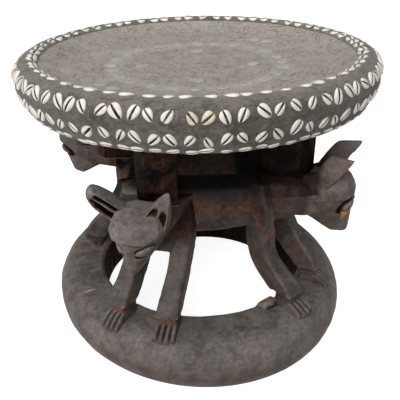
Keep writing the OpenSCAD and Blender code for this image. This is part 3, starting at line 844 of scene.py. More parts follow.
def shell_form(length, slim, rise, bend):
    """Points, faces and slit marks of one cowrie on its back, slit up and along x, its wide end at +x."""
    rows = 24
    half, width, height = length / 2, length * slim / 2, length * rise
    lobe = (1.0, 0.985, 0.93, 0.83, 0.70, 0.55, 0.40, 0.26, 0.12, 0.0)
    points, slit = [], []
    for i in range(rows + 1):
        s = -1 + 2 * i / rows
        t = s * math.pi / 2
        reach = width * math.cos(t) ** (0.94 - 0.2 * s) * (1 + 0.24 * math.sin(t)) + 0.02
        middle = bend * width * 0.16 * math.sin(1.4 * t)
        tooth = 0.86 if i % 2 else 1.12
        gap = min(0.55 * reach, (0.19 * width + 0.15) * tooth * (1 - 0.4 * s) * max(0.05, math.cos(t * 0.9)) ** 0.3)
        top = height * max(0.0, math.cos(t)) ** 0.6
        line = []
        for side in (-1, 1):
            edge = middle + side * gap
            run = [(edge + (side * reach - edge) * q, top * math.sqrt(max(0.0, 1 - q ** 2.6)) *
                    (0.80 + 0.20 * math.sin(min(1.0, q * 2.2) * math.pi / 2)),
                    0.22 if q == 0 else 0.10 if q > 0.95 else 0.0) for q in lobe]
            # Walls down into the slit, marked to be painted near black as the shade in the slit.
            wall = [(middle + side * gap * 0.86, 0.5 * top, 1.0), (middle + side * gap * 0.6, 0.22 * top, 1.0)]
            line += (run + wall) if side < 0 else (wall[::-1] + run[::-1])
        for y, z, dark in line:
            points.append((half * math.sin(t), y, z))
            slit.append(dark)
    n = len(points) // (rows + 1)
    faces = [(i * n + j, (i + 1) * n + j, (i + 1) * n + j + 1, i * n + j + 1)
             for i in range(rows) for j in range(n - 1)]
    return np.array(points), faces, np.array(slit)


# Each row of shells: how many, length as part of the shell length, width and rise as parts of that,
# slope of the rim where it lies, lean to one side and the other, stray, and its own seed
SHELL_ROWS = {
    "lip_shells": (64, 0.74, 0.88, 0.17, 105.0, 0.0, 12.0, 11),
    "upper_shells": (80, 0.88, 0.71, 0.17, 27.0, 38.0, 14.0, 12),
    "lower_shells": (80, 0.85, 0.66, 0.17, -16.5, -34.0, 13.0, 13),
    "hem_shells": (80, 0.78, 0.46, 0.14, -35.5, 0.0, 8.0, 14),
}
# Directions in which a shell is stained tan
STAINED = (267.7, 272.3, 292.0, 38.0, 120.0, 201.0, 334.0)


def make_shells(m, name):
    """A row of shells sewn round the rim at one slope of its surface."""
    count, part, slim, rise, angle, lean, stray, seed = SHELL_ROWS[name]
    rng = np.random.default_rng(int(m.seed) * 100 + seed)
    length = m.shell_l * part
    forms = [shell_form(length, slim * a, rise * b, bend) for a, b, bend in
             ((1.0, 1.0, 1.0), (1.08, 1.05, -0.8), (0.92, 0.95, 0.5), (1.02, 1.0, -0.4))]
    parts, slits, stains = [], [], []
    for i in range(count):
        points, faces, slit = forms[int(rng.integers(len(forms)))]
        size = rng.uniform(0.84, 1.12)
        az = 2 * math.pi * (i + 0.5 + rng.uniform(-0.16, 0.16)) / count
        dip = math.exp(-((math.degrees(az) - 273) / 13) ** 2)
        tilt = angle + rng.uniform(-2.0, 2.0)
        if lean:
            sway = 5 * noise.noise(Vector((3 * math.cos(az), 3 * math.sin(az), 5))) - 14 * dip
            tilt += sway * (1.0 if angle > 0 else 0.3)
        turn = math.radians((-lean if i % 2 == 0 else lean) + rng.uniform(-stray, stray))
        if not lean:
            turn += math.pi / 2
        if rng.random() < 0.5:
            turn += math.pi
        r, z = rim_point(m, tilt)
        a = math.radians(tilt)
        out = np.array([math.cos(a) * math.cos(az), math.cos(a) * math.sin(az), math.sin(a)])
        down = np.array([math.sin(a) * math.cos(az), math.sin(a) * math.sin(az), -math.cos(a)])
        side = np.cross(out, down)
        x = math.cos(turn) * down + math.sin(turn) * side
        y = np.cross(out, x)
        place = np.array([r * math.cos(az), r * math.sin(az), z]) + out * (cloth_swell(az, tilt) - 0.6)
        p = points * size
        bow = (p[:, 0] * np.dot(x, side) + p[:, 1] * np.dot(y, side)) ** 2 / m.seat_d
        rim_r = m.roll_r + 6 if tilt > 0 else m.flank_r
        bow += (p[:, 0] * np.dot(x, down) + p[:, 1] * np.dot(y, down)) ** 2 / (2 * rim_r)
        up = np.outer(p[:, 2] - bow * 0.8, out)
        parts.append((place + np.outer(p[:, 0], x) + np.outer(p[:, 1], y) + up, faces))
        slits.append(slit)
        apart = min(abs((math.degrees(az) - tan + 180) % 360 - 180) for tan in STAINED)
        stains.append(np.full(len(p), 0.75 if apart < 1.9 and name == "upper_shells" else 0.35 * rng.random() ** 2))
    points, faces = join_parts(parts)
    mesh = bpy.data.meshes.new(name)
    mesh.from_pydata([tuple(p) for p in points * 0.001], [], faces)
    mesh.update()
    set_value(mesh, "slit", np.concatenate(slits))
    set_value(mesh, "stain", np.concatenate(stains))
    smooth_shading(mesh)
    return mesh


# the base ring

def ring_edge(m, az):
    """Distance from the seat's axis to the oval's outermost edge."""
    half = (m.ring_long / 2, m.ring_short / 2)
    ray = (math.cos(az - m.ring_turn) / half[0], math.sin(az - m.ring_turn) / half[1])
    start = (-m.ring_shift * math.cos(m.ring_turn) / half[0], m.ring_shift * math.sin(m.ring_turn) / half[1])
    a = ray[0] ** 2 + ray[1] ** 2
    b = ray[0] * start[0] + ray[1] * start[1]
    c = start[0] ** 2 + start[1] ** 2 - 1
    return (-b + math.sqrt(b * b - a * c)) / a


def ring_top(m, az, r):
    """Height of the ring's surface at a distance from the axis."""
    mid = ring_edge(m, az) - m.bulge_r
    if r <= mid:
        return m.ring_h
    return m.ring_h - m.bulge_r + math.sqrt(max(0.0, m.bulge_r ** 2 - (r - mid) ** 2))


# Wood left standing on the ring: direction, half width, distance from the axis, half depth and height
LUMPS = ((-55.3, 5.0, 157, 9, 6.5), (36, 6.0, 160, 10, 4.0), (134, 6.0, 160, 10, 4.0))


# Where the hole's wall is steep: direction of its middle, half width, fade, and how much further out its foot is
STEEP = (163, 45, 20, 21)


def steep(az):
    """How much further out the hole's wall stands at the floor in a direction."""
    where, wide, fade, most = STEEP
    off = abs((math.degrees(az) - where + 180) % 360 - 180)
    return most * min(1.0, max(0.0, (wide - off) / fade))


def make_ring(m):
    """The oval ring with its bulging side, its rough inner wall and the lumps left standing on it."""
    bulge_z = m.ring_h - m.bulge_r

    def profile(az):
        mid = ring_edge(m, az) - m.bulge_r
        low = -math.asin(bulge_z / m.bulge_r)
        pairs = [(mid + m.bulge_r * math.cos(t), bulge_z + m.bulge_r * math.sin(t))
                 for t in np.linspace(low, math.pi / 2, 36)]
        pairs += [(r, m.ring_h) for r in np.linspace(mid - 2, m.hole_top_r + 3, 14)]
        pairs += [(m.hole_top_r + 1.2, m.ring_h - 0.6), (m.hole_top_r - 0.4, m.ring_h - 2.2),
                  (m.hole_top_r - 2, m.ring_h - 5)]
        foot = m.hole_floor_r + steep(az)
        slope = (m.hole_top_r - 2 - foot) / (m.ring_h - 5)
        pairs += [(foot + slope * z, z) for z in np.linspace(m.ring_h - 8, 0, 20)]
        pairs += [(r, 0.0) for r in np.linspace(foot + 6, mid + 26, 8)]
        return pairs[::-1]

    mesh = new_mesh("base_ring", *hoop(profile, 420))
    co, no = points_of(mesh), normals_of(mesh)
    r = np.hypot(co[:, 0], co[:, 1])
    az = np.degrees(np.arctan2(co[:, 1], co[:, 0]))
    inner = np.clip((m.hole_top_r + 1 - r) / 3, 0, 1) * np.clip((m.ring_h - 3 - co[:, 2]) / 5, 0, 1)
    lift = np.empty(len(co))
    for i, p in enumerate(co):
        v = Vector(p)
        near = noise.voronoi(v / 22.0)[0]
        lift[i] = 0.9 * noise.noise(v / 60) + 0.45 * noise.noise(v / 17) - 0.8 * (near[1] - near[0] - 0.3)
        if inner[i] > 0:
            split = noise.noise(Vector((az[i] / 2.2, p[2] / 60, 1.0)))
            lift[i] += inner[i] * ((2.2 + 0.1 * steep(math.radians(az[i]))) * split - 0.6)
    co = co + no * (lift * np.clip(co[:, 2] / 3, 0, 1))[:, None]
    for where, wide, far, deep, high in LUMPS:
        off = (az - where + 180) % 360 - 180
        edge = np.maximum(np.abs(off) / wide, np.abs(r - far) / deep)
        ragged = np.array([noise.noise(Vector(p) / 9.0) for p in co])
        rise = np.clip((1.15 + 0.35 * ragged - edge) / 0.45, 0, 1)
        co[:, 2] += np.where(co[:, 2] > m.ring_h - 9, rise * rise * (3 - 2 * rise) * (high + 2.0 * ragged), 0)
    co[:, 2] = np.maximum(co[:, 2], 0)
    set_points(mesh, co)
    smooth_shading(mesh)
    note_curvature(mesh, 4, 0.22)
    off = (az - LUMPS[0][0] + 180) % 360 - 180
    chip = np.clip(1.6 - np.hypot((off - 0.5) / 0.8, (r - 160) / 2.2), 0, 1) * (co[:, 2] > m.ring_h + 2)
    # The hole's inner wall is marked rough, and is painted partly dark as the shade in the hole.
    note_marks(mesh, 0.8 * chip, 0.78 * inner * (no[:, 2] < 0.6))
    return mesh


# the animals

def rounded(path, count):
    """A smooth run of points through a path."""
    path = np.asarray(path, float)
    padded = np.vstack([2 * path[0] - path[1], path, 2 * path[-1] - path[-2]])
    out = []
    spans = len(path) - 1
    for i in np.linspace(0, spans, count):
        k = min(int(i), spans - 1)
        t = i - k
        a, b, c, d = padded[k:k + 4]
        curve = 2 * b + (c - a) * t + (2 * a - 5 * b + 4 * c - d) * t * t + (3 * b - a - 3 * c + d) * t ** 3
        out.append(0.5 * curve)
    return np.array(out)


def torso_part(m):
    """A long level body with flat sides, squarer and wider at its shoulders, ending in a chest."""
    # distance ahead, width and height as parts of the body's, and shift towards the ring's middle
    stations = [(-m.body_off - 4, 0.9, 0.9, 0), (-0.6 * m.body_off, 0.98, 0.97, 0),
                (-0.1 * m.body_off, 1.0, 1.01, 0), (0.3 * m.body_off, 0.99, 1.0, 0),
                (0.62 * m.body_off, 0.97, 0.95, 0), (65, 1.02, 0.90, 1), (84, 1.28, 0.88, 11),
                (102, 1.26, 0.84, 13.5), (113, 1.12, 0.74, 14.5), (119, 0.9, 0.62, 15)]
    rings = []
    for x, wide, high, shift in rounded(stations, 44):
        mid = (x, -m.body_off + shift, m.back_z - high * m.body_h / 2)
        rings.append(section(mid, (0, 1, 0), (0, 0, 1), wide * m.body_w / 2, high * m.body_h / 2, 5.5))
    return loft(rings)


def chest_part(m, k):
    """The broad chest that joins the shoulder to the inner leg."""
    front, low = CHEST_FRONT[k], m.back_z - m.body_h
    side = -m.body_off
    if k == 0:
        ridge = [(80, side + 67, m.back_z - 5), (100, side + 67, m.back_z - 8),
                 (front - 25, side + 44, m.back_z - 9), (front - 3, side + 23, low + 7)]
    else:
        ridge = [(80, side + 67, m.back_z - 41), (100, side + 69, m.back_z - 41),
                 (front - 5, side + 50, m.back_z - 22), (front - 4, side + 52, low)]
    return hewn_block(ridge + [
        (80, side + 3, m.back_z - 3), (80, side + 5, low - 1), (80, side + 60, low - 5),
        (front - 4, side + 9, m.back_z - 17), (front, side + 13, low - 1), (front, side + 14, low + 26),
        (front - 8, side + 37, low - 10)])


def chest_shade(m, k, spots):
    """How much painted shade each of these points takes behind the ridge of the chest, which only the front body
    has.
    """
    if k:
        return None
    along = np.clip((-m.body_off + 67 - spots[:, 1]) / 44, 0, 1)
    under = m.back_z - 8 - 51 * along - spots[:, 2]
    shade = 0.6 * np.clip(under / 4, 0, 1) * np.clip((spots[:, 2] - 148) / 22, 0, 1)
    return shade * (spots[:, 0] > 88) * (spots[:, 1] > -53) * (spots[:, 1] < 4)


def leg_points(m, k, side):
    """Middle of a leg from hip to the ledge above its foot."""
    az, toe_r = OUTER_FOOT[k] if side < 0 else INNER_FOOT[k]
    a = math.radians(az)
    way = np.array([math.cos(a), math.sin(a), 0])
    flank = -m.body_off + side * m.body_w / 2
    if side > 0:
        hip = np.array([96.0, flank + 29, m.back_z - 17])
        thigh = np.array([103.0, flank + 29, m.back_z - 0.5 * m.body_h])
        groin = np.array([110.0, flank + 28, m.back_z - m.body_h])
        bend = (0.36, 0.75)
    else:
        hip = np.array([76.0, flank + 5, m.back_z + 4])
        thigh = np.array([79.0, flank - 3, m.back_z - 0.5 * m.body_h])
        groin = np.array([80.0, flank + OUTER_GROIN[k], m.back_z - m.body_h])
        bend = (0.14, 0.54)
    ankle = way * (toe_r - ANKLE_BACK) + (0, 0, m.ring_h + 20)
    fall = ankle - groin
    knee = groin + fall * (bend[0], bend[0], 0.5)
    shin = groin + fall * (bend[1], bend[1], 0.8)
    return [hip, thigh, groin, knee, shin, ankle], way, a, toe_r


def leg_part(m, k, side):
    """A squared leg with a crisp front, cut off in a ledge over the foot."""
    path, way, a, toe_r = leg_points(m, k, side)
    across = np.array([-math.sin(a), math.cos(a), 0])
    thick, steps = 29, 40
    # width and thickness along the leg, as parts of its own
    upper = ((0.48, 0.7), (0.66, 1.1)) if side < 0 else ((0.86, 0.5), (0.94, 0.9))
    girth = [*upper, (1.0, 1.12), (0.94, 1.12), (0.98, 1.05), (1.12, 1.0)]
    line = rounded(path, steps)
    sizes = rounded(girth, steps)
    last = steps - 1
    rings = []
    for i in range(steps):
        run = line[min(i + 1, last)] - line[max(i - 1, 0)]
        run = run / np.linalg.norm(run)
        front = np.cross(run, across)
        front = front / np.linalg.norm(front)
        if i > last - 5:
            blend = (i - last + 5) / 5
            front = front * (1 - blend) + way * np.sign(np.dot(front, way)) * blend
            front = front / np.linalg.norm(front)
        wide, deep = sizes[i]
        rings.append(section(line[i], across, front, wide * m.leg_w / 2, deep * thick / 2, LEG_SQUARE))
    foot = toe_r - ANKLE_BACK
    sole = ring_top(m, a + math.radians(TURN[k]), foot) - 6
    under = [section(way * (foot - 1) + (0, 0, z), across, way, 0.94 * m.leg_w / 2, 13.0, LEG_SQUARE)
             for z in (m.ring_h + 21, m.ring_h + 8, sole)]
    return [loft(rings), loft(under)]


# A toe, and the bed that the toes lie in, from heel to tip: part of its length, its height, and the toes' spread
TOE_STEPS = ((-0.25, 16.0, 0.86), (0.15, 14.4, 0.9), (0.55, 12.0, 0.95), (0.9, 9.0, 1.0), (1.0, 7.5, 1.0))
BED_STEPS = ((-0.3, 6.5, 0.86), (0.5, 3.0, 0.95), (0.9, 0.5, 0.98))


def foot_parts(m, k, side):
    """Four long flat toes with grooves between them, stepping down over the ring's bulge."""
    az, toe_r = OUTER_FOOT[k] if side < 0 else INNER_FOOT[k]
    a = math.radians(az)
    way, across = np.array([math.cos(a), math.sin(a), 0]), np.array([-math.sin(a), math.cos(a), 0])
    pitch = 31.0 / 4
    parts = []
    for t in range(4):
        rings = []
        for part, high, spread in TOE_STEPS:
            r = toe_r - ANKLE_BACK + part * 32 * (1.0 if t in (1, 2) else 0.94)
            ground = ring_top(m, a + math.radians(TURN[k]), r)
            mid = way * r + across * (t - 1.5) * pitch * spread
            half = 0.5 * pitch * spread
            flat = ((-0.98, -7.0), (0.98, -7.0), (0.86, 0.20 * high), (0.58, 0.70 * high),
                    (0.36, 0.86 * high), (-0.36, 0.86 * high), (-0.58, 0.70 * high), (-0.86, 0.20 * high))
            rings.append([mid + across * half * side_part + (0, 0, ground + up) for side_part, up in flat])
        parts.append(loft(rings))
    bed = []
    for part, high, spread in BED_STEPS:
        r = toe_r - ANKLE_BACK + part * 30
        ground = ring_top(m, a + math.radians(TURN[k]), r)
        mid = way * r + (0, 0, ground + (high - 7) / 2)
        bed.append(section(mid, across, (0, 0, 1), 1.95 * pitch * spread, (high + 7) / 2, 6.0, n=24))
    parts.append(loft(bed))
    return parts


def head_frame(m, k):
    """Origin and directions of a head: forward, across, up from below its chin."""
    a = math.radians(-HEAD_TURN)
    deep = m.head_h + CHIN_DROP[k]
    origin = np.array([NAPE[0], NAPE[1], m.crown_z + HEAD_LIFT[k] - deep])
    return origin, np.array([math.cos(a), math.sin(a), 0]), np.array([-math.sin(a), math.cos(a), 0]), deep


# Corners of a head's blocks, each on both sides: distance ahead of the nape, half width, height above the chin
SLOPING_SKULL = (
    (-9, 18, 73), (-9, 21, 60), (-9, 20, 40), (2, 25, 76), (20, 27, 76), (20, 9, 80), (0, 10, 80),
    (12, 31.5, 64), (26, 32.5, 60), (38, 30.5, 57), (16, 32.5, 50), (45, 15, 64), (47.5, 4, 66),
    (54.8, 3, 51), (53.5, 11, 50.5), (48.5, 21, 50), (38, 28.5, 50), (17, 32, 48), (52.8, 3, 47.5),
    (50.0, 11, 47), (45.5, 19.5, 46.5), (35, 27, 46), (15, 29.5, 45.5))
SLOPING_FACE = (
    (54.2, 2.2, 49), (45.5, 17, 47), (34, 24.5, 47), (10, 26.5, 47), (-8, 20, 46), (53.2, 2.0, 36),
    (43.0, 14, 32), (31, 20.5, 33), (8, 22, 30), (48.2, 2.0, 3.5), (46.5, 3, 0.8), (43, 3.5, 0),
    (30, 5, 0.5), (20, 5, 4), (4, 12, 14), (-8, 15, 24))
ROUND_SKULL = (
    (-9, 18, 74), (-9, 21, 60), (-9, 20, 42), (0, 22, 77), (20, 22, 80), (35, 14, 81), (42, 11, 79.5),
    (48, 10, 74.5), (53.5, 8, 67), (56.2, 7, 59), (56.2, 5, 53), (12, 31, 66), (34, 30, 66), (46, 24, 64),
    (51, 19, 52.8), (40, 27, 51.8), (20, 31, 50), (55, 3, 49), (51, 13, 49), (44.5, 20.5, 48.5),
    (34, 27, 47.5), (14, 29, 46))
ROUND_FACE = (
    (54.2, 4, 50), (50, 15, 49), (39, 26, 49), (20, 30.5, 50), (6, 29, 49), (-8, 21, 46), (54, 4, 34),
    (49, 15, 33), (37, 24, 33), (10, 26, 31), (52.5, 4, 8), (51, 5, 2), (47.5, 6, 0), (34, 9, 0),
    (31, 11, 1), (21, 20, 18), (6, 21, 21), (-8, 18, 25))
HEAD_BLOCKS = 2 * ((SLOPING_SKULL, SLOPING_FACE), (ROUND_SKULL, ROUND_FACE))
# The height of chin to crown that these corners were drawn for
DRAWN_H = 80


def head_parts(m, k):
    """Neck, skull and face of an animal."""
    origin, ahead, across, deep = head_frame(m, k)
    lift = HEAD_LIFT[k]
    neck_z = m.back_z - 23
    nape = np.array([NAPE[0], NAPE[1], 0])
    # along the neck: distance ahead, half width, height, half height, taper, share of the head's turn, and shift
    stations = [(-69, 26.5, neck_z + 8, 21.0, 0, 0, -9), (-43, 27, neck_z + 4, 22.5, 0, 0, -8.5),
                (-18, 27, neck_z - 0.5 + 0.5 * lift, 22.3, 0.05, 0, -7.5),
                (-2, 27, neck_z - 4.5 + 0.9 * lift, 20.5, 0.1, 0.5, -5)]
    if k % 2 == 0:
        stations += [(12, 24, neck_z - 6 + lift, 16, 0.4, 1.0, -2.5), (25, 17, neck_z - 4 + lift, 12, 0.5, 1.0, 0)]
    else:
        stations += [(12, 25.5, neck_z - 6 + lift, 20.5, 0.08, 1.0, -2.5),
                     (26, 22, neck_z - 9 + lift, 19.5, 0.15, 1.0, 0)]
    rings = []
    for x, wide, z, high, taper, turn, shift in rounded(stations, 28):
        a = math.radians(-turn * HEAD_TURN)
        mid = nape + (x * math.cos(a), max(x, 0) * math.sin(a) + shift, z)
        rings.append(section(mid, (-math.sin(a), math.cos(a), 0), (0, 0, 1), wide, high, LEG_SQUARE, taper))
    parts = [loft(rings)]
    for block in HEAD_BLOCKS[k]:
        corners = []
        for x, half, z in block:
            x += BROW_AHEAD[k] * max(0.0, z - 12) * min(1.0, max(0.0, x / 50))
            for side in (-1, 1):
                corners.append(origin + x * ahead + side * half * across + np.array([0, 0, z * deep / DRAWN_H]))
        parts.append(hewn_block(corners))
    return parts


# Outlines of an ear from root to tip: part of its length, of its width and of its thickness
ROUND_TIP = (
    (0, 0.80, 1.0), (0.2, 0.95, 1.0), (0.45, 1.04, 0.96), (0.7, 1.0, 0.86), (0.87, 0.84, 0.70),
    (0.96, 0.6, 0.5), (1.0, 0.3, 0.3))
CUT_TIP = (
    (0, 0.80, 1.1), (0.3, 0.92, 1.0), (0.6, 1.0, 0.86), (0.85, 1.0, 0.66), (1.0, 0.92, 0.5),
    (1.01, 0.86, 0.42))
POINT_TIP = (
    (0, 1.0, 1.0), (0.2, 0.98, 0.98), (0.42, 0.84, 0.84), (0.64, 0.60, 0.62), (0.84, 0.34, 0.38),
    (1.0, 0.10, 0.12))
# Each ear: lean to its side, tilt ahead, swing, width, thickness, length, groove and outline
EARS = {
    (0, -1): (38, 29, -30, 31, 23, 58, 15.0, ROUND_TIP), (0, 1): (24, 6, 4, 27, 31, 47, 13.0, POINT_TIP),
    (1, -1): (12, 33, 10, 27, 14, 59, 0.0, CUT_TIP), (1, 1): (5, 35, 10, 27, 14, 60, 3.0, CUT_TIP),
    (2, -1): (26, 33, 5, 31, 15, 57, 7.0, CUT_TIP), (2, 1): (20, 33, 5, 31, 15, 57, 7.0, CUT_TIP),
    (3, -1): (30, 33, 5, 32, 15, 57, 7.0, ROUND_TIP), (3, 1): (20, 30, 5, 30, 15, 55, 7.0, CUT_TIP),
}


def ear_place(m, k, side):
    """Turn of an ear and the place of its root, in its head's directions."""
    lean, tilt, swing = EARS[(k, side)][:3]
    swung = Euler((0, 0, math.radians(side * swing))).to_matrix()
    pose = Euler((math.radians(-side * lean), math.radians(tilt), 0)).to_matrix() @ swung
    deep = m.head_h + CHIN_DROP[k]
    ahead, off = (13.0, 19.0) if EARS[(k, side)][7] is POINT_TIP else (6.5, 20.8)
    root = (ahead, side * off, deep - 18)
    return np.array(pose), np.array(root)


def groove_depth(ear, s, wide):
    """Depth of the hollow in an ear's front edge at a part of its length."""
    ends = 0.60 if ear[7] is POINT_TIP else 0.90
    return ear[6] * np.clip((ends - s) / 0.25, 0, 1) * np.minimum(1.0, wide)


def ear_part(m, k, side):
    """A thick blade with a hollow in its front edge and a ridge standing in the hollow."""
    ear = EARS[(k, side)]
    tilt, width, thick, length, tip = ear[1], ear[3], ear[4], ear[5], ear[7]
    level = math.tan(math.radians(tilt)) if tip is CUT_TIP else 0.0
    rings = []
    for s, wide, deep in rounded(tip, 30):
        w, t = width * wide / 2, thick * deep / 2
        g = groove_depth(ear, s, wide) + 0.02
        half = [(-w, 0.02), (-0.93 * w, 0.34 * t), (-0.6 * w, 0.74 * t), (-0.2 * w, 0.98 * t), (0.1 * w, t),
                (0.45 * w, 0.96 * t), (0.8 * w, 0.92 * t), (w, 0.86 * t), (w - 0.05 * g, 0.80 * t),
                (w - 0.75 * g, 0.74 * t), (w - g, 0.56 * t), (w - 0.85 * g, 0.32 * t), (w - 0.35 * g, 0.13 * t)]
        flat = half + [(w - 0.14 * g, 0.0)] + [(x, -y) for x, y in half[::-1]]
        rings.append([(x, y, s * length + level * x * s ** 2) for x, y in flat])
    points, faces = loft(rings)
    pose, root = ear_place(m, k, side)
    origin, ahead, across, _ = head_frame(m, k)
    points = points @ pose.T + root
    placed = origin + np.outer(points[:, 0], ahead) + np.outer(points[:, 1], across)
    return placed + np.outer(points[:, 2], (0, 0, 1)), faces


def ear_shade(m, k, spots):
    """How much painted shade each of these points of a head takes, by how deep it lies in the hollow of an ear."""
    shade = np.zeros(len(spots))
    for side in (-1, 1):
        ear = EARS[(k, side)]
        if not ear[6]:
            continue
        pose, root = ear_place(m, k, side)
        own = (spots - root) @ pose
        shape = rounded(ear[7], 30)
        s = own[:, 2] / ear[5]
        w = ear[3] / 2 * np.interp(s, shape[:, 0], shape[:, 1])
        t = ear[4] / 2 * np.interp(s, shape[:, 0], shape[:, 2])
        g = groove_depth(ear, s, np.interp(s, shape[:, 0], shape[:, 1])) + 0.01
        deep = np.clip((w - own[:, 0] - 0.12 * g) / (0.35 * g), 0, 1) * (own[:, 0] > w - 1.2 * g - 1)
        across = np.abs(own[:, 1]) / t
        strength, ends = (0.66, 0.74) if ear[7] is POINT_TIP else (1.0, 1.05)
        wedge = 0.10 + 0.70 * np.clip((ends - s) / 0.35, 0, 1)
        shade = np.maximum(shade, strength * deep * (across < wedge) * (across > 0.10) * (s > 0.0) * (g > 1))
    return shade


# Eyes of the animals, on each face: direction of the middle, height, half length, half height, slope, bulge
EYES = ((46.0, 35.2, 14.5, 6.6, 0.10, 2.6), (25.0, 41.0, 10.5, 7.0, -0.28, 5.0), (46.0, 35.2, 14.5, 6.6, 0.10, 2.6),
        (30.0, 41.0, 11.5, 6.6, -0.1, 4.4))
# How far ahead of the nape the eyes' directions start
EYE_MIDDLE = 22


def cut_face(mesh, m, k):
    """Carves the eyes into a head, and marks the painted shade in the grooves round the eyes, in the hollows of the
    ears and behind the ears of the round heads, and the bare chips.
    """
    origin, ahead, across, deep = head_frame(m, k)
    co = turned(points_of(mesh), -TURN[k]) - origin
    x, y, z = co @ ahead, co @ across, co[:, 2] * DRAWN_H / deep
    middle, height, half_l, half_h, slope, bulge = EYES[k]
    lift, dark = np.zeros(len(co)), np.zeros(len(co))
    front = (x > 18) & (z < 62) & (np.abs(y) < 33)
    outward = np.zeros((len(co), 3))
    for side in (-1, 1):
        angle = np.degrees(np.arctan2(y * side, x - EYE_MIDDLE))
        s = (angle - middle) / 57.3 * 27
        t = z - height - slope * s
        e = ((np.abs(s) / half_l) ** 1.7 + (np.abs(t) / half_h) ** 2 + 1e-9) ** 0.5
        nose = 11 if k % 2 == 0 else 4
        beside = np.clip((angle - nose) / nose, 0, 1)
        lid = bulge * np.clip(1 - e * e, 0, 1) ** 0.6 - 3.0 * beside * np.exp(-((e - 1.15) / 0.22) ** 2)
        near = front & (angle > 0) & (e < 3.5)
        edge = 0.17 if k % 2 == 0 else 0.26
        flat = np.hypot(x - EYE_MIDDLE, y) + 1e-9
        way = np.outer((x - EYE_MIDDLE) / flat, ahead) + np.outer(y / flat, across)
        outward += way * np.where(near, lid, 0)[:, None]
        # Painted shade in the groove round the eye.
        dark = np.maximum(dark, np.where(near, 1.45 * np.exp(-((e - 1.17) / edge) ** 2) * beside, 0))
    if k == 0:
        curl = np.abs(np.hypot(x - 35.6, y + 21.2) - 2.9)
        lift -= np.where(z > 54, 0.9 * np.exp(-(curl / 0.8) ** 2), 0)
    set_points(mesh, points_of(mesh) + turned(outward, TURN[k]) + normals_of(mesh) * lift[:, None])
    dark = np.maximum(dark, ear_shade(m, k, np.stack([x, y, co[:, 2]], 1)))
    bare = np.zeros(len(co))
    if k == 1:
        angle = np.degrees(np.arctan2(-y, x - EYE_MIDDLE))
        patchy = np.array([noise.noise(Vector(p) / 2.5) for p in co])
        drop = 1 - np.hypot((angle - 33) / 9, (z - 30.0) / 6.5)
        arm = 1 - np.hypot((angle - 20) / 18, (z - 31.5 + 0.05 * (angle - 20)) / 2.6)
        bare = np.clip((np.maximum(drop, arm) + 0.7 * patchy) * 2.6, 0, 1) * (x > 20)
    elif k == 0:
        bare = 0.8 * np.clip(2.2 - np.hypot(y, np.hypot(x - 48, z - 2)), 0, 1)
    # Painted shade on the round heads' crowns behind the ears, under the seat.
    if k % 2:
        dark = np.maximum(dark, 0.55 * np.clip((24 - x) / 14, 0, 1) * (z > 56) * (np.abs(y) > 8))
    return bare, np.clip(dark, 0, 1)


def make_animal(m, k):
    """The carved body and legs of one animal, one skin from haunch to chest."""
    parts = [torso_part(m), chest_part(m, k)] + leg_part(m, k, -1) + leg_part(m, k, 1)
    parts = [(turned(p, TURN[k]), f) for p, f in parts]
    mesh = fuse(ANIMALS[k] + "_body", parts, m.carving_step, 1)
    hewn(mesh, 0.7, 15.0, 0.7, 40.0 * k)
    smooth_shading(mesh)
    note_curvature(mesh)
    # Painted shade behind the chest's ridge.
    note_marks(mesh, None, chest_shade(m, k, turned(points_of(mesh), -TURN[k])))
    return mesh


def make_feet(m, k):
    """The toes of one animal's two front feet."""
    parts = foot_parts(m, k, -1) + foot_parts(m, k, 1)
    parts = [(turned(p, TURN[k]), f) for p, f in parts]
    mesh = fuse(ANIMALS[k] + "_feet", parts, 0.8, 1)
    hewn(mesh, 0.25, 8.0, 0.2, 31.0 * k)
    smooth_shading(mesh)
    note_curvature(mesh, 8, 0.45)
    note_marks(mesh)
    return mesh


def make_head(m, k):
    """The neck, face and ears of one animal."""
    parts = head_parts(m, k) + [ear_part(m, k, -1), ear_part(m, k, 1)]
    parts = [(turned(p, TURN[k]), f) for p, f in parts]
    mesh = fuse(ANIMALS[k] + "_head", parts, 0.9, 2)
    bare, dark = cut_face(mesh, m, k)
    hewn(mesh, 0.4, 12.0, 0.45, 57.0 * k)
    smooth_shading(mesh)
    note_curvature(mesh, 14, 0.30)
    behind = turned(points_of(mesh), -TURN[k])
    # Painted shade of the seat's rim on the neck.
    neck = 0.38 * np.clip((150 - behind[:, 0]) / 16, 0, 1) * (behind[:, 2] < m.back_z + (12 if k % 2 else 2))
    note_marks(mesh, bare, np.maximum(neck, dark))
    return mesh


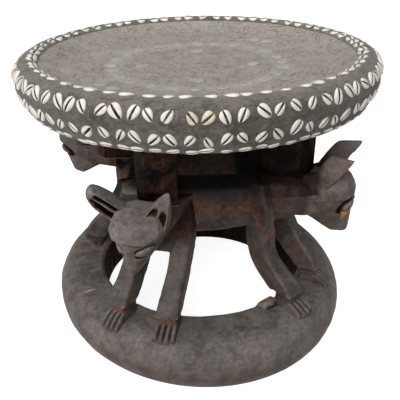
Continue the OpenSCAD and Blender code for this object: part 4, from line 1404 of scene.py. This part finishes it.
def make_post(m, k):
    """An oblong post with cut corners, left rough from the blade."""
    cut = 11.0
    corners = []
    for sx, sy, swap in ((1, 1, 0), (1, 1, 1), (-1, 1, 1), (-1, 1, 0),
                         (-1, -1, 0), (-1, -1, 1), (1, -1, 1), (1, -1, 0)):
        corners.append((sx * (m.post_l / 2 - swap * cut), sy * (m.post_w / 2 - (1 - swap) * cut)))
    flat = []
    for i, (x0, y0) in enumerate(corners):
        x1, y1 = corners[(i + 1) % 8]
        for t in (0.03, 0.10, 0.25, 0.5, 0.75, 0.90, 0.97):
            flat.append((x0 + (x1 - x0) * t, y0 + (y1 - y0) * t))
    top = m.seat_h - m.rim_depth + 3
    rings = []
    for z in np.linspace(m.back_z - 13, top, 46):
        flare = 1 + 0.05 * max(0.0, (m.back_z + 16 - z) / 46) + 0.03 * max(0.0, (z - top + 14) / 14)
        low = min(1.0, max(0.0, (m.back_z + 24 - z) / 32))
        ring = []
        for x, y in flat:
            v = Vector((x, y, z * 0.55)) + Vector((90.0 * k, 0, 0))
            dent = 1 + 0.018 * noise.noise(v / 9) + 0.02 * noise.noise(v / 26)
            back = POST_CUT_BACK[k] * max(0.0, x) / (m.post_l / 2) * low
            ring.append((POST_MIDDLE[0] + x * flare * dent - back, POST_MIDDLE[1] + y * flare * dent, z))
        rings.append(ring)
    points, faces = loft(rings)
    mesh = new_mesh(ANIMALS[k] + "_post", turned(points, TURN[k]), faces)
    smooth_shading(mesh, 30)
    note_curvature(mesh, 1, 0.4)
    note_marks(mesh)
    return mesh


# operators

class StoolStage(bpy.types.Operator):
    """Lays the pale floor and sets the soft lamps, the background and the camera"""
    bl_idname = "stool.stage"
    bl_label = "Floor, lamps and camera"

    def execute(self, context):
        f = Finish("pale_floor", roughness=0.9, specular=0.1)
        f.colour(f.mix(f.ramp(f.noise(3, 3, 0.5), 0.3, 0.7), (0.60, 0.60, 0.60), (0.63, 0.63, 0.63)))
        rays = f.node("ShaderNodeLightPath").outputs
        seen = f.calc("MAXIMUM", rays["Is Camera Ray"],
                      f.calc("MAXIMUM", rays["Is Glossy Ray"], rays["Is Transmission Ray"]))
        away = f.radius()
        f.shader.inputs["Emission Color"].default_value = (1, 1, 1, 1)
        f.feed(f.shader.inputs["Emission Strength"], f.product(seen, f.ramp(away, 0.10, 1.1, 0.86, 0.97)))
        mesh = bpy.data.meshes.new("floor")
        mesh.from_pydata([(-9, -9, 0), (9, -9, 0), (9, 12, 0), (-9, 12, 0)], [], [(0, 1, 2, 3)])
        mesh.materials.append(f.material)
        floor = bpy.data.objects.new("floor", mesh)
        context.scene.collection.objects.link(floor)

        world = bpy.data.worlds.new("studio")
        context.scene.world = world
        world.use_nodes = True
        tree = world.node_tree
        tree.nodes.clear()
        out = tree.nodes.new("ShaderNodeOutputWorld")
        back = tree.nodes.new("ShaderNodeBackground")
        back.inputs["Color"].default_value = (1, 1, 1, 1)
        path = tree.nodes.new("ShaderNodeLightPath")
        level = tree.nodes.new("ShaderNodeMapRange")
        level.inputs["To Min"].default_value = 0.08
        level.inputs["To Max"].default_value = 1.0
        both = tree.nodes.new("ShaderNodeMath")
        both.operation = "MAXIMUM"
        tree.links.new(path.outputs["Is Camera Ray"], both.inputs[0])
        tree.links.new(path.outputs["Is Transmission Ray"], both.inputs[1])
        tree.links.new(both.outputs[0], level.inputs["Value"])
        tree.links.new(level.outputs[0], back.inputs["Strength"])
        tree.links.new(back.outputs[0], out.inputs[0])

        for name, place, power, wide in LAMPS:
            lamp = bpy.data.lights.new(name, "AREA")
            lamp.energy = power
            lamp.size = wide
            holder = bpy.data.objects.new(name, lamp)
            holder.location = place
            holder.rotation_euler = (Vector((0, 0, 0.2)) - Vector(place)).to_track_quat("-Z", "Y").to_euler()
            context.scene.collection.objects.link(holder)

        lens = bpy.data.cameras.new("camera")
        lens.sensor_width = 36.0
        lens.lens = FOCAL_PX / PICTURE_PX * lens.sensor_width
        lens.clip_start = 0.02
        lens.clip_end = 60.0
        camera = bpy.data.objects.new("camera", lens)
        camera.location = CAMERA_PLACE
        tilt = Euler((math.radians(90 - CAMERA_DOWN), 0, 0)).to_matrix()
        roll = Euler((0, 0, math.radians(CAMERA_ROLL))).to_matrix()
        camera.rotation_euler = (tilt @ roll).to_euler()
        context.scene.collection.objects.link(camera)
        context.scene.camera = camera
        context.scene.view_settings.view_transform = "Standard"
        return {"FINISHED"}


class StoolPanelPiece(bpy.types.Operator):
    """Lays the dished, engraved panel and its inlaid discs"""
    bl_idname = "stool.seat_panel"
    bl_label = "Engraved panel and discs"

    def execute(self, context):
        m = measures()
        piece("engraved_panel", make_panel(m), panel_finish(), "panel_wood", "seat_panel")
        piece("inlaid_disc_set", make_discs(m), disc_finish(), "disc", "inlaid_discs")
        return {"FINISHED"}


class StoolRim(bpy.types.Operator):
    """Stains the wooden rim and wraps it in its cloth"""
    bl_idname = "stool.rim"
    bl_label = "Rim and cloth"

    def execute(self, context):
        m = measures()
        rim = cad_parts["seat_rim"]
        rim.data.materials.clear()
        rim.data.materials.append(carved_wood("rim_wood", 0.2, 0.3))
        cloth = piece("rim_covering", make_cloth(m), cloth_finish(), "cloth", "rim_cloth")
        return {"FINISHED"}


class StoolShells(bpy.types.Operator):
    """Sews the four rows of shells to the cloth"""
    bl_idname = "stool.shells"
    bl_label = "Rows of shells"

    def execute(self, context):
        m = measures()
        finish = shell_finish()
        for name in SHELL_ROWS:
            piece(name + "_row", make_shells(m, name), finish, "shell", name)
        return {"FINISHED"}


class StoolRing(bpy.types.Operator):
    """Carves the oval base ring"""
    bl_idname = "stool.base_ring"
    bl_label = "Base ring"

    def execute(self, context):
        mesh = make_ring(measures())
        scratch = (-0.1568, -0.0938, math.radians(17.6), 0.0085)
        finish = carved_wood("ring_wood", 0.92, 0.5, 0.0, (0.25, 0.25, 1.0), 1.4, scratch, -0.8)
        piece("carved_ring", mesh, finish, "dark_wood", "base_ring")
        return {"FINISHED"}


class StoolAnimals(bpy.types.Operator):
    """Carves the four animals: bodies with their legs, feet and heads"""
    bl_idname = "stool.animals"
    bl_label = "Carved animals"

    def execute(self, context):
        m = measures()
        # The bodies take the painted shade of the seat further from the axis.
        body_wood = carved_wood("body_wood", 0.53, 1.0, 0.5, reach=0.170)
        foot_wood = carved_wood("foot_wood", 0.80, 0.35, 0.2, low=-0.6)
        head_wood = carved_wood("head_wood", 0.95, 0.3, 0.1, (1, 1, 0.3), 1.35, None, -0.85, 1.16)
        for k, name in enumerate(ANIMALS):
            piece(name + "_torso_and_legs", make_animal(m, k), body_wood, "dark_wood",
                  name + "_body", name + "_outer_leg", name + "_inner_leg")
            piece(name + "_toes", make_feet(m, k), foot_wood, "dark_wood")
            piece(name + "_face_and_ears", make_head(m, k), head_wood, "dark_wood", name + "_head")
        return {"FINISHED"}


class StoolPosts(bpy.types.Operator):
    """Cuts the four posts between the shoulders and the seat"""
    bl_idname = "stool.posts"
    bl_label = "Posts"

    def execute(self, context):
        m = measures()
        # The posts' stain is made nearly black and left without dust, as painted shade under the seat.
        finish = carved_wood("post_wood", 0.0, 0.4, 0.0, (1, 1, 0.08), 0.14)
        for k, name in enumerate(ANIMALS):
            piece(name + "_pillar", make_post(m, k), finish, "dark_wood", name + "_post")
        return {"FINISHED"}


OPERATORS = (StoolStage, StoolPanelPiece, StoolRim, StoolShells, StoolRing, StoolAnimals, StoolPosts)


class StoolSidebar(bpy.types.Panel):
    """Lists the stool's pieces in the 3D view's sidebar"""
    bl_idname = "VIEW3D_PT_stool"
    bl_label = "Carved Stool"
    bl_space_type = "VIEW_3D"
    bl_region_type = "UI"
    bl_category = "Stool"

    def draw(self, context):
        for operator in OPERATORS:
            self.layout.operator(operator.bl_idname)
        for group in (context.scene.stool_sizes, context.scene.stool_colours):
            box = self.layout.box()
            for name in group.__annotations__:
                box.prop(group, name)


CLASSES = (StoolSizes, StoolColours, *OPERATORS, StoolSidebar)


def register():
    for cls in CLASSES:
        bpy.utils.register_class(cls)
    bpy.types.Scene.stool_sizes = PointerProperty(type=StoolSizes)
    bpy.types.Scene.stool_colours = PointerProperty(type=StoolColours)


def unregister():
    del bpy.types.Scene.stool_colours
    del bpy.types.Scene.stool_sizes
    for cls in reversed(CLASSES):
        bpy.utils.unregister_class(cls)


def main():
    register()
    bpy.ops.stool.stage()
    bpy.ops.stool.seat_panel()
    bpy.ops.stool.rim()
    bpy.ops.stool.shells()
    bpy.ops.stool.base_ring()
    bpy.ops.stool.animals()
    bpy.ops.stool.posts()


if __name__ == "__main__":
    main()
